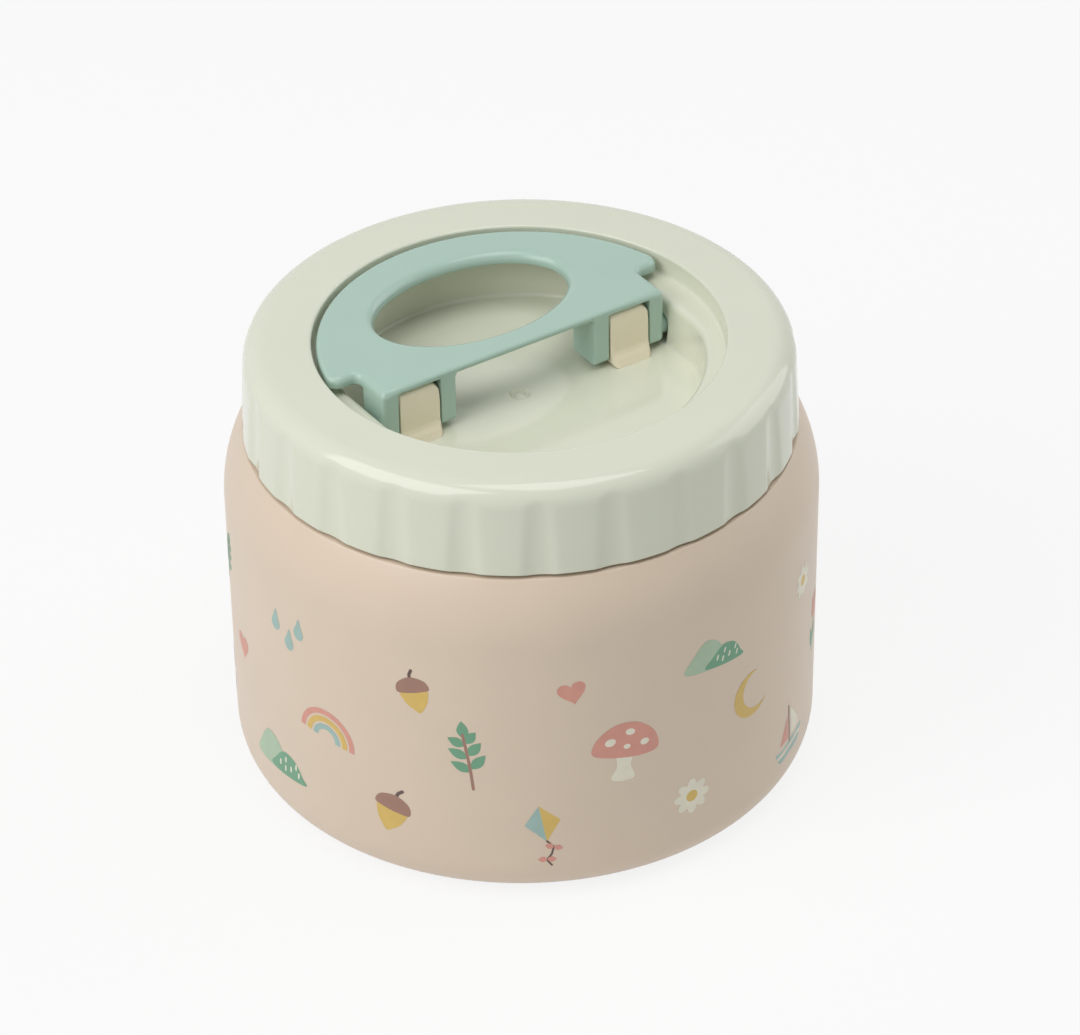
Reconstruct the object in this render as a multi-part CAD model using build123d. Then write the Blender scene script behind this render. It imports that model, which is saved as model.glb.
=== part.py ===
from build123d import *
import os
from math import asin, cos, degrees, sqrt

# Insulated food jar: a double-walled steel jar, a screw lid and a folding handle.
# Millimetres, +Z up. The origin is the centre of the base, on the table.
# The handle's hinge axis runs along X, and the closed handle lies towards +Y.

# ---- Clearances -------------------------------------------------------------
WELD_GAP = 0.05          # between pieces that are welded, brazed or glued together
MOULD_GAP = 0.2          # between moulded pieces that snap or stack together
RUN_GAP = 0.05           # radial clearance of a pin that turns in its bore
PRESS_GAP = 0.02         # radial clearance left round a pressed pin
SWING_GAP = 0.3          # room beside and over what the handle swings past
LEDGE_GAP = 0.15         # between the ledge and the ears of the upright handle
SEAL_GAP = 0.15          # between the silicone ring and what it touches

# ---- Steel body -------------------------------------------------------------
BODY_R = 52.0            # outside radius at the top of the straight wall
BODY_DRAFT = 0.35        # the wall is this much narrower just above the base
BASE_ROUND_RUN = 6.2     # base rounding, inwards
BASE_ROUND_RISE = 7.7    # base rounding, upwards
WALL_TOP_Z = 52.6        # where the straight wall meets the shoulder
SHOULDER_RUN = 21.4      # half axes of the shoulder's ellipse
SHOULDER_RISE = 22.4
LAND_RISE = 12.6         # height over the straight wall of the flat land round the neck
LAND_ROUND = 0.8         # rounding where the shoulder turns into the land
NECK_INSET = 8.7         # from the body's radius in to the neck
NECK_ROUND = 1.2         # rounding at the root of the neck
SHELL_T = 0.7            # steel sheet of the outer shell
FOOT_W = 2.6             # flat ring that the jar stands on

# ---- Base -------------------------------------------------------------------
COVER_RECESS = 0.7       # base cover above the table
COVER_T = 0.9
COVER_CHAMFER = 0.3
PLATE_T = 0.7            # base plate sheet
PLATE_FLANGE = 1.9       # depth of its welded flange
DIMPLE_R = 7.5           # dimple round the evacuation hole
DIMPLE_RISE = 1.6
DIMPLE_SLOPE = 2.0
VENT_R = 1.5             # evacuation hole
PLUG_HEAD_R = 2.4        # brazed plug over the hole
PLUG_HEAD_T = 0.6

# ---- Food cup ---------------------------------------------------------------
CUP_T = 0.6
VACUUM_SIDE = 4.3        # gap between the walls
VACUUM_BASE = 4.6        # gap over the base plate
CUP_CORNER_R = 9.0
CUP_SHOULDER_DROP = 2.6  # where the cup's neck starts, under the land
CUP_SHOULDER_H = 6.5
CUP_SHOULDER_ROUND = 4.0
NECK_VACUUM = 2.0        # gap between the two necks
LIP_T = 0.7              # rolled lip that joins cup and shell
LIP_ROUND = 0.3
GETTER_R = 4.5
GETTER_T = 1.6
GETTER_OFFSET = 20.0

# ---- Lid --------------------------------------------------------------------
SKIRT_LIFT = 0.58        # skirt above the land
LID_H = 16.7
SKIRT_T = 3.05           # skirt wall at its lower edge
SKIRT_DRAFT = 0.87       # the skirt is this much narrower at the top
SKIRT_EDGE_ROUND = 0.4
THREAD_ROOM = 2.0        # between neck and skirt, for the screw threads
LID_TOP_T = 2.2
LID_TOP_ROUND = 4.0
LID_INNER_ROUND = 1.5
RIM_EDGE_ROUND = 0.8
RECESS_DEPTH = 12.0      # rim to recess floor
BOWL_T = 2.2             # recess wall
BOWL_DRAFT = 0.5         # the recess narrows by this much on its way down
BOWL_FILLET = 0.8
FLOOR_T = 2.0
FLAT_INSET = 1.95        # flats beside the hinge, in from the round of the recess floor
FLAT_DRAFT = 1.0         # the flats lean back by this much on their way up
LEDGE_W = 3.65           # ledge round the recess, where the ears of the upright handle rest
LEDGE_T = 2.2
LEDGE_ROUND = 1.2        # inner edge of the ledge
LEDGE_FILLET = 0.7       # between the ledge and the rim
GROOVE_COUNT = 24
GROOVE_R = 6.4           # grip grooves in the skirt
GROOVE_DEPTH = 0.65      # at the skirt's lower edge
GROOVE_TOP_DEPTH = 0.35  # where the rounding of the lid's top starts
GATE_R = 1.65            # moulding gate in the middle of the floor
GATE_DEPTH = 0.25
NIB_R = 0.5
NIB_RISE = 0.2

# ---- Liner, foam and seal under the lid --------------------------------------
LINER_T = 1.5
LINER_SEAL_ROOM = 4.0    # from the mouth in to the liner's wall
LINER_FLANGE_T = 1.2
LINER_CORNER_R = 2.5
LINER_FLANGE_INSET = 0.9  # flange edge, in from the neck's outside
RIB_W = 1.2              # ring rib of the lid that holds the flange down
FOAM_T = 2.6
SEAL_T = 1.2
SEAL_SLEEVE_T = 1.0
SEAL_SLEEVE_H = 2.4
SEAL_LIP_T = 0.5
SEAL_LIP_DROP = 1.0

# ---- Handle -----------------------------------------------------------------
HANDLE_SUNK = 0.27       # top of the closed handle, under the rim
HANDLE_T = 2.1
HANDLE_RIM_GAP = 0.8     # between the handle's arc and the recess
HANDLE_ROUND = 0.85      # upper edges
HANDLE_UNDER_ROUND = 0.3
BAR_W = 5.3              # front bar, from the straight edge to the finger hole
BACK_BAND_W = 8.2        # behind the finger hole
SIDE_BAND_W = 12.9       # beside the finger hole
HOLE_ROUND = 1.6         # upper edge of the finger hole
NOTCH_R = 1.0            # inside corner between ear and hinge block
EAR_ROUND = 1.1
EAR_BACK = 5.3           # ears' straight edge, behind the hinge axis
CHEEK_SIDE_ROOM = 0.55   # from the flat of the recess wall in to the outer cheek
OUTER_CHEEK_T = 3.1
SLOT_W = 8.6             # slot for the hinge post
INNER_CHEEK_T = 3.1
CHEEK_FRONT = 2.67       # in front of the hinge axis
CHEEK_BACK = 4.3         # behind the hinge axis
CHEEK_DROP = 2.0         # under the hinge axis
CHEEK_CORNER_ROUND = 1.2
ROOF_T = 1.1             # handle left over the post
TRUNNION_R = 2.2
TRUNNION_REACH = 2.2     # into its pocket in the recess wall

# ---- Hinge ------------------------------------------------------------------
PIVOT_Y = 0.6
PIVOT_RISE = 3.0         # over the recess floor
PIN_R = 1.25
BORE_WALL = 0.9          # left of the inner cheek behind the blind end of the bore
PIN_SUNK = 0.45          # outer end, in from the trunnion's end
PIN_CHAMFER = 0.25
POST_FRONT = 2.9         # in front of the hinge axis
POST_BACK = 2.8
POST_TOP_ROUND = 1.3
FOOT_RUN = 1.3           # how far the post's foot runs out in front
FOOT_STEP = 0.7          # of which at its sloping top
FOOT_RISE = 2.3
FOOT_EDGE = 0.3
TONGUE_W = 5.6           # tongue through the recess floor, along X
TONGUE_D = 4.0
TONGUE_SPLIT = 1.2
BARB_REACH = 0.5
BARB_H = 1.4
POCKET_DEPTH = 2.5       # trunnion pockets, into the recess wall

# ---- Places worked out from the sizes ----------------------------------------
land_z = WALL_TOP_Z + LAND_RISE
neck_r = BODY_R - NECK_INSET
mouth_r = neck_r - SHELL_T - NECK_VACUUM - CUP_T
cup_r = BODY_R - SHELL_T - VACUUM_SIDE
shell_base_r = BODY_R - BODY_DRAFT
foot_in_r = shell_base_r - BASE_ROUND_RUN - FOOT_W
cover_top_z = COVER_RECESS + COVER_T
plate_z = cover_top_z + WELD_GAP
cup_z = plate_z + PLATE_T + VACUUM_BASE

skirt_z = land_z + SKIRT_LIFT
lid_z = skirt_z + LID_H
skirt_in_r = neck_r + THREAD_ROOM
skirt_r = skirt_in_r + SKIRT_T
skirt_top_r = skirt_r - SKIRT_DRAFT
floor_z = lid_z - RECESS_DEPTH
handle_top_z = lid_z - HANDLE_SUNK
handle_z = handle_top_z - HANDLE_T
pivot_z = floor_z + PIVOT_RISE
ledge_z = pivot_z + EAR_BACK - LEDGE_GAP
step_z = ledge_z - LEDGE_T

liner_r = mouth_r - LINER_SEAL_ROOM
bowl_r = liner_r - LINER_T - MOULD_GAP
wall_r = bowl_r - BOWL_T
recess_r = wall_r + LEDGE_W
step_r = recess_r + BOWL_T
flange_r = neck_r - LINER_FLANGE_INSET
flange_z = step_z - MOULD_GAP - LINER_FLANGE_T
lip_z = flange_z - 2 * SEAL_GAP - SEAL_T
foam_z = floor_z - FLOOR_T - MOULD_GAP - FOAM_T
liner_z = foam_z - MOULD_GAP - LINER_T

handle_r = recess_r - HANDLE_RIM_GAP
front_y = PIVOT_Y - CHEEK_FRONT
back_y = PIVOT_Y + CHEEK_BACK
ear_y = PIVOT_Y + EAR_BACK
cheek_z = pivot_z - CHEEK_DROP
roof_z = handle_top_z - ROOF_T
flat_x = wall_r - BOWL_DRAFT - FLAT_INSET
outer_cheek_x = flat_x - CHEEK_SIDE_ROOM
slot_out_x = outer_cheek_x - OUTER_CHEEK_T
slot_in_x = slot_out_x - SLOT_W
inner_cheek_x = slot_in_x - INNER_CHEEK_T
post_x = (slot_out_x + slot_in_x) / 2
post_w = SLOT_W - 2 * SWING_GAP
trunnion_x = flat_x + TRUNNION_REACH
bore_x = inner_cheek_x + BORE_WALL


def turned(corners):
    """Turn a half section about Z. A corner is (radius, height) or (radius, height, rounding)."""
    section = make_face(Polyline(*[corner[:2] for corner in corners], close=True))
    for corner in corners:
        if len(corner) == 3:
            vertex = section.vertices().sort_by_distance(corner[:2])[0]
            section = fillet(vertex, corner[2])
    return revolve(Plane.XZ * section, axis=Axis.Z)


def box(x, y, z):
    """Box between two values along each axis."""
    size = (x[1] - x[0], y[1] - y[0], z[1] - z[0])
    return Pos(x[0], y[0], z[0]) * Box(*size, align=(Align.MIN, Align.MIN, Align.MIN))


def rod(radius, x_from, x_to):
    """Cylinder on the hinge axis between two values of X."""
    middle = Pos((x_from + x_to) / 2, PIVOT_Y, pivot_z)
    return middle * Rot(0, 90, 0) * Cylinder(radius, x_to - x_from)


def to_side(solid, side):
    """The right-hand solid, or its mirror image on the left."""
    return solid if side > 0 else mirror(solid, about=Plane.YZ)


# ---- Jar --------------------------------------------------------------------
def body_form(inset):
    """Solid of the jar's outside, drawn in evenly by an inset."""
    base = EllipticalCenterArc(
        (shell_base_r - BASE_ROUND_RUN, BASE_ROUND_RISE),
        BASE_ROUND_RUN - inset, BASE_ROUND_RISE - inset, 270, arc_size=90)
    land_angle = degrees(asin((LAND_RISE - inset) / (SHOULDER_RISE - inset)))
    shoulder = EllipticalCenterArc(
        (BODY_R - SHOULDER_RUN, WALL_TOP_Z),
        SHOULDER_RUN - inset, SHOULDER_RISE - inset, 0, arc_size=land_angle)
    wall = Line(base @ 1, shoulder @ 0)
    neck = Polyline(shoulder @ 1, (neck_r - inset, land_z - inset),
                    (neck_r - inset, lip_z - LIP_T), (0, lip_z - LIP_T), (0, inset), base @ 0)
    section = make_face([base, wall, shoulder, *neck.edges()])
    root = section.vertices().sort_by_distance((neck_r - inset, land_z - inset))[0]
    section = fillet(root, NECK_ROUND + inset)
    turn = section.vertices().sort_by_distance(shoulder @ 1)[0]
    section = fillet(turn, LAND_ROUND - inset / 2)
    return revolve(Plane.XZ * section, axis=Axis.Z)


def make_outer_shell():
    """Painted outer wall, open at the neck and at the base."""
    shell = body_form(0) - body_form(SHELL_T)
    opening = Cylinder(foot_in_r, BASE_ROUND_RISE)
    return shell - opening


def make_inner_cup():
    """Drawn food cup with the rolled lip that closes the two necks."""
    neck_z = land_z - CUP_SHOULDER_DROP
    outside_r = mouth_r + CUP_T
    outside = turned([
        (0, cup_z), (cup_r, cup_z, CUP_CORNER_R),
        (cup_r, neck_z - CUP_SHOULDER_H, CUP_SHOULDER_ROUND),
        (outside_r, neck_z, CUP_SHOULDER_ROUND), (outside_r, lip_z), (0, lip_z)])
    inside = turned([
        (0, cup_z + CUP_T), (cup_r - CUP_T, cup_z + CUP_T, CUP_CORNER_R - CUP_T),
        (cup_r - CUP_T, neck_z - CUP_SHOULDER_H, CUP_SHOULDER_ROUND),
        (mouth_r, neck_z, CUP_SHOULDER_ROUND), (mouth_r, lip_z + LIP_T), (0, lip_z + LIP_T)])
    lip = turned([
        (mouth_r, lip_z - LIP_T), (neck_r, lip_z - LIP_T),
        (neck_r, lip_z, LIP_ROUND), (mouth_r, lip_z, LIP_ROUND)])
    return outside - inside + lip


def make_base_plate():
    """Pressed plate welded inside the foot ring, with a dimple round the evacuation hole."""
    edge_r = foot_in_r - WELD_GAP
    top_z = plate_z + PLATE_T
    skirt = edge_r - PLATE_T
    dimple_top = DIMPLE_R - DIMPLE_SLOPE
    return turned([
        (VENT_R, plate_z + DIMPLE_RISE), (dimple_top, plate_z + DIMPLE_RISE),
        (DIMPLE_R, plate_z), (skirt, plate_z, PLATE_T / 2), (skirt, top_z - PLATE_FLANGE),
        (edge_r, top_z - PLATE_FLANGE), (edge_r, top_z, PLATE_T),
        (DIMPLE_R + PLATE_T / 2, top_z), (dimple_top + PLATE_T / 2, top_z + DIMPLE_RISE),
        (VENT_R, top_z + DIMPLE_RISE)])


def make_vacuum_plug():
    """Bead of solder that fills the evacuation hole."""
    stem_r = VENT_R - PRESS_GAP
    under_z = plate_z + DIMPLE_RISE - WELD_GAP
    return turned([
        (0, under_z - PLUG_HEAD_T), (PLUG_HEAD_R, under_z - PLUG_HEAD_T, PLUG_HEAD_T / 2),
        (PLUG_HEAD_R, under_z), (stem_r, under_z), (stem_r, under_z + PLATE_T),
        (0, under_z + PLATE_T)])


def make_getter():
    """Getter pill on the underside of the cup, in the vacuum."""
    return Pos(0, GETTER_OFFSET, cup_z - WELD_GAP - GETTER_T / 2) * Cylinder(GETTER_R, GETTER_T)


def make_base_cover():
    """Thin disc glued under the base plate."""
    cover_r = foot_in_r - PLATE_T - WELD_GAP - MOULD_GAP
    disc = Pos(0, 0, COVER_RECESS + COVER_T / 2) * Cylinder(cover_r, COVER_T)
    return chamfer(disc.edges().sort_by(Axis.Z)[0], COVER_CHAMFER)


# ---- Lid --------------------------------------------------------------------
def grip_grooves():
    """Shallow grooves up the skirt that run out over the rounding of the lid's top."""
    round_z = lid_z - LID_TOP_ROUND
    round_r = skirt_r - SKIRT_DRAFT * (round_z - skirt_z) / LID_H
    low = Vector(skirt_r - GROOVE_DEPTH + GROOVE_R, 0, skirt_z)
    high = Vector(round_r - GROOVE_TOP_DEPTH + GROOVE_R, 0, round_z)
    along = high - low
    overrun = 0.4
    start = low - along * overrun
    cutter = Plane(origin=start, z_dir=along) * Cylinder(
        GROOVE_R, along.length * (1 + 2 * overrun), align=(Align.CENTER, Align.CENTER, Align.MIN))
    return [Rot(0, 0, i * 360 / GROOVE_COUNT) * cutter for i in range(GROOVE_COUNT)]


def tongue_window(side, room):
    """Rectangular hole for a post's tongue, down from the recess floor."""
    half_w = TONGUE_W / 2 + room
    half_d = TONGUE_D / 2 + room
    return box((side * post_x - half_w, side * post_x + half_w),
               (PIVOT_Y - half_d, PIVOT_Y + half_d), (liner_z + LINER_T, floor_z + 1))


def hinge_flat(side):
    """Flat that fills the round of the recess beside the hinge, up to the ledge."""
    section = make_face(Polyline(
        (flat_x, floor_z), (flat_x + FLAT_DRAFT, ledge_z), (bowl_r, ledge_z), (bowl_r, floor_z),
        close=True))
    corner = section.vertices().sort_by_distance((flat_x + FLAT_DRAFT, ledge_z))[0]
    section = fillet(corner, LEDGE_ROUND)
    filling = extrude(Plane.XZ * section, amount=bowl_r, both=True)
    inside_wall_r = (wall_r + LEDGE_ROUND + bowl_r) / 2
    filling = filling & Pos(0, 0, floor_z) * Cylinder(
        inside_wall_r, RECESS_DEPTH, align=(Align.CENTER, Align.CENTER, Align.MIN))
    return to_side(filling, side)


def trunnion_pocket(side):
    """Round-topped pocket in the recess wall, open down to the floor."""
    half_w = TRUNNION_R + SWING_GAP
    slot = box((outer_cheek_x, flat_x + POCKET_DEPTH),
               (PIVOT_Y - half_w, PIVOT_Y + half_w), (floor_z, pivot_z))
    return to_side(slot + rod(half_w, outer_cheek_x, flat_x + POCKET_DEPTH), side)


def make_lid_shell():
    """Moulded screw lid: scalloped skirt, broad rim and recess with a ledge."""
    under_z = lid_z - LID_TOP_T
    rib_in_r = flange_r - 2 * RIB_W
    bowl_under_z = floor_z - FLOOR_T
    shell = turned([
        (0, floor_z), (wall_r - BOWL_DRAFT, floor_z, BOWL_FILLET),
        (wall_r, ledge_z, LEDGE_ROUND), (recess_r, ledge_z, LEDGE_FILLET),
        (recess_r, lid_z, RIM_EDGE_ROUND),
        (skirt_top_r, lid_z, LID_TOP_ROUND), (skirt_r, skirt_z, SKIRT_EDGE_ROUND),
        (skirt_in_r, skirt_z), (skirt_in_r, under_z, LID_INNER_ROUND),
        (rib_in_r + RIB_W, under_z), (rib_in_r + RIB_W, flange_z + LINER_FLANGE_T + MOULD_GAP),
        (rib_in_r, flange_z + LINER_FLANGE_T + MOULD_GAP), (rib_in_r, under_z),
        (step_r, under_z), (step_r, step_z), (bowl_r, step_z),
        (bowl_r, bowl_under_z, BOWL_FILLET), (0, bowl_under_z)])
    gate = turned([
        (0, floor_z + NIB_RISE), (NIB_R, floor_z + NIB_RISE), (NIB_R, floor_z - GATE_DEPTH),
        (GATE_R - GATE_DEPTH, floor_z - GATE_DEPTH), (GATE_R, floor_z), (GATE_R, floor_z + 1),
        (0, floor_z + 1)])
    nib = turned([(0, floor_z - GATE_DEPTH), (NIB_R, floor_z - GATE_DEPTH),
                  (NIB_R, floor_z + NIB_RISE, NIB_RISE), (0, floor_z + NIB_RISE)])
    shell = shell - grip_grooves() - gate + nib
    for side in (-1, 1):
        shell = shell + hinge_flat(side) - tongue_window(side, MOULD_GAP) - trunnion_pocket(side)
    return shell


def make_lid_liner():
    """Plug that closes the lid from below and reaches into the mouth."""
    inner_r = liner_r - LINER_T
    top_z = flange_z + LINER_FLANGE_T
    return turned([
        (0, liner_z), (liner_r, liner_z, LINER_CORNER_R), (liner_r, flange_z),
        (flange_r, flange_z, LINER_FLANGE_T / 3), (flange_r, top_z, LINER_FLANGE_T / 3),
        (inner_r, top_z), (inner_r, liner_z + LINER_T, LINER_CORNER_R - LINER_T),
        (0, liner_z + LINER_T)])


def make_lid_insulation():
    """Foam disc under the recess floor, cut out round the post's tongues."""
    foam_r = bowl_r - BOWL_FILLET
    disc = Pos(0, 0, foam_z + FOAM_T / 2) * Cylinder(foam_r, FOAM_T)
    for side in (-1, 1):
        disc = disc - tongue_window(side, BARB_REACH + MOULD_GAP)
    return disc


def make_seal_ring():
    """Silicone ring: a flat seat over the mouth lip and a wiping lip inside the mouth."""
    inner_r = liner_r + SEAL_GAP
    sleeve_r = inner_r + SEAL_SLEEVE_T
    lip_r = mouth_r - SEAL_GAP
    top_z = flange_z - SEAL_GAP
    seat_z = top_z - SEAL_T
    lip_top = seat_z - SEAL_LIP_T
    return turned([
        (inner_r, top_z), (flange_r, top_z, SEAL_T / 3), (flange_r, seat_z, SEAL_T / 3),
        (sleeve_r, seat_z), (sleeve_r, lip_top), (lip_r, lip_top - SEAL_LIP_DROP / 2),
        (lip_r, lip_top - SEAL_LIP_DROP), (sleeve_r, lip_top - SEAL_LIP_DROP),
        (sleeve_r, seat_z - SEAL_SLEEVE_H), (inner_r, seat_z - SEAL_SLEEVE_H)])


# ---- Hinge ------------------------------------------------------------------
def make_hinge_post(side):
    """Post that stands in the handle's slot: rounded top, stepped foot, split tongue with barbs."""
    front = PIVOT_Y - POST_FRONT
    back = PIVOT_Y + POST_BACK
    top_r = roof_z - pivot_z - SWING_GAP
    left = post_x - post_w / 2
    right = post_x + post_w / 2
    # The top follows a circle round the hinge axis, so that the handle's roof clears it.
    column = box((left, right), (front, back), (floor_z, pivot_z))
    crown = box((left, right), (front, back), (pivot_z, pivot_z + top_r)) & rod(top_r, left, right)
    post = column + crown
    gate = Plane.XZ * Pos(post_x, floor_z) * Rectangle(
        post_w, pivot_z + top_r - floor_z, align=(Align.CENTER, Align.MIN))
    gate = fillet(gate.vertices().sort_by(Axis.Z)[-2:], POST_TOP_ROUND)
    post = post & extrude(gate, amount=post_w, both=True)
    # The foot steps out in front and runs on a little further down to the floor.
    shelf_z = floor_z + FOOT_RISE - FOOT_STEP / 2
    foot = Plane.YZ * make_face(Polyline(
        (front, floor_z), (front - FOOT_RUN, floor_z), (front - FOOT_STEP, shelf_z),
        (front, floor_z + FOOT_RISE), close=True))
    foot = Pos(left, 0, 0) * extrude(foot, amount=post_w)
    foot = chamfer(foot.edges().filter_by(Axis.X, reverse=True).group_by(Axis.Y)[0], FOOT_EDGE)
    # Two legs pass through the floor and spread under it.
    under_z = floor_z - FLOOR_T - WELD_GAP
    tip_z = under_z - BARB_H
    half_d = TONGUE_D / 2
    leg = Plane.YZ * Pos(PIVOT_Y, 0) * make_face(Polyline(
        (TONGUE_SPLIT / 2, floor_z), (half_d, floor_z), (half_d, under_z),
        (half_d + BARB_REACH, under_z), (half_d - BARB_REACH, tip_z),
        (TONGUE_SPLIT / 2, tip_z), close=True))
    leg = Pos(post_x - TONGUE_W / 2, 0, 0) * extrude(leg, amount=TONGUE_W)
    legs = leg + mirror(leg, about=Plane.XZ.offset(-PIVOT_Y))
    post = post + foot + legs - rod(PIN_R + RUN_GAP, left - 1, right + 1)
    return to_side(post, side)


def make_hinge_pin(side):
    """Pin pressed in through the trunnion, with which the handle turns in the post's bore."""
    pin = rod(PIN_R, bore_x + MOULD_GAP, trunnion_x - PIN_SUNK)
    pin = chamfer(pin.edges().filter_by(GeomType.CIRCLE), PIN_CHAMFER)
    return to_side(pin, side)


def handle_plate():
    """D-shaped plate with two ears and a rounded finger hole."""
    disc = Circle(handle_r)
    front = Pos(0, front_y) * Rectangle(
        2 * handle_r, 2 * handle_r, align=(Align.CENTER, Align.MIN))
    outline = disc & front
    for side in (-1, 1):
        beside = Pos(side * outer_cheek_x, ear_y) * Rectangle(
            handle_r, handle_r, align=(Align.MIN if side > 0 else Align.MAX, Align.MAX))
        outline = outline - beside
    for side in (-1, 1):
        corner = outline.vertices().sort_by_distance((side * outer_cheek_x, ear_y))[0]
        outline = fillet(corner, NOTCH_R)
    tips = [v for v in outline.vertices() if abs(v.X) > outer_cheek_x + 2 * NOTCH_R]
    outline = fillet(tips, EAR_ROUND)
    plate = extrude(Pos(0, 0, handle_z) * outline, amount=HANDLE_T)
    plate = fillet(plate.edges().group_by(Axis.Z)[-1], HANDLE_ROUND)
    hole_front = front_y + BAR_W
    hole_back = handle_r - BACK_BAND_W
    hole_y = (hole_front + hole_back) / 2
    hole_half_w = sqrt(handle_r ** 2 - hole_y ** 2) - SIDE_BAND_W
    hole = Pos(0, hole_y, handle_z) * Ellipse(hole_half_w, (hole_back - hole_front) / 2)
    plate = plate - extrude(hole, amount=HANDLE_T)
    edge = plate.edges().filter_by(lambda e: e.geom_type == GeomType.ELLIPSE)
    plate = fillet(edge.sort_by(Axis.Z)[-1], HOLE_ROUND)
    return plate


def hinge_block():
    """Right-hand fork: two cheeks, the slot between them and the trunnion on the outer one."""
    fork = box((inner_cheek_x, outer_cheek_x), (front_y, back_y), (cheek_z, handle_z))
    low = fork.edges().filter_by(Axis.X).group_by(Axis.Z)[0]
    fork = fillet(low, CHEEK_CORNER_ROUND)
    uprights = fork.edges().filter_by(Axis.Z)
    fork = fillet(uprights, HANDLE_UNDER_ROUND)
    return fork + rod(TRUNNION_R, slot_out_x + 1, trunnion_x)


def make_handle():
    """Folding handle in one moulding."""
    handle = handle_plate()
    for side in (-1, 1):
        handle = handle + to_side(hinge_block(), side)
    for side in (-1, 1):
        slot = box((slot_in_x, slot_out_x), (front_y - 1, back_y + 1), (cheek_z - 1, roof_z))
        hole = rod(PIN_R + PRESS_GAP, bore_x, trunnion_x + 1)
        handle = handle - to_side(slot + hole, side)
    return handle


# ---- Files ------------------------------------------------------------------
def main():
    nodes = {
        "outer_shell": make_outer_shell(),
        "inner_cup": make_inner_cup(),
        "base_plate": make_base_plate(),
        "vacuum_plug": make_vacuum_plug(),
        "getter": make_getter(),
        "base_cover": make_base_cover(),
        "lid_shell": make_lid_shell(),
        "lid_liner": make_lid_liner(),
        "lid_insulation": make_lid_insulation(),
        "seal_ring": make_seal_ring(),
        "hinge_post_left": make_hinge_post(-1),
        "hinge_post_right": make_hinge_post(1),
        "hinge_pin_left": make_hinge_pin(-1),
        "hinge_pin_right": make_hinge_pin(1),
        "handle": make_handle(),
    }
    os.makedirs("parts", exist_ok=True)
    for name, solid in nodes.items():
        export_step(solid, f"parts/{name}.step")


main()
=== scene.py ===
"""Looks of an insulated food jar with a screw lid and a folding handle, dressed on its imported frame."""

import logging
from collections.abc import Callable, Sequence
from dataclasses import dataclass
from enum import Enum
from math import acos, asin, atan2, ceil, cos, degrees, pi, radians, sin, tan, tau

import bpy
import numpy as np
from mathutils import Matrix, Vector
from mathutils.geometry import delaunay_2d_cdt


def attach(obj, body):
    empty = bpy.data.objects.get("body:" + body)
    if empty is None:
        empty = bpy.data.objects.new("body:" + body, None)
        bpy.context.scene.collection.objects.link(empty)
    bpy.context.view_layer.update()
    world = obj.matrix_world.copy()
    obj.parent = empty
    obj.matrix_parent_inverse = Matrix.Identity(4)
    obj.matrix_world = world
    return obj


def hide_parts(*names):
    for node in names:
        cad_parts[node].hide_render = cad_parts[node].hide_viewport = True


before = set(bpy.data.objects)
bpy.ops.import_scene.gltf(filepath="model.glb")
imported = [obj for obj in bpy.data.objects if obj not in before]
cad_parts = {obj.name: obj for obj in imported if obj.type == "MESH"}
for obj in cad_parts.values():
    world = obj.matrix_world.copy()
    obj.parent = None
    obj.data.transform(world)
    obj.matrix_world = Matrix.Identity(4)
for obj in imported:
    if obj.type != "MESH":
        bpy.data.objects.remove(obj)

LOG = logging.getLogger("food_jar")
MM = 0.001
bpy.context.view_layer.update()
NOISE_ROUGHNESS = 0.55
NOISE_LOW, NOISE_HIGH = 0.3, 0.7    # nearly all of a noise lies between these
SMALL_ROUNDING = 0.5                # roundings up to this, in millimetres, get longer steps
LONGER = 2.5

Corner = tuple[float, ...]          # radius and height, and the rounding of a rounded corner
Outline = np.ndarray                # one row for each point
Field = Callable[[np.ndarray, np.ndarray, np.ndarray], np.ndarray]


class Body(str, Enum):
    """Rigid bodies that pieces ride on."""

    JAR = "jar"
    SEAL = "seal"
    LID = "lid"
    HANDLE = "handle"


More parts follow.
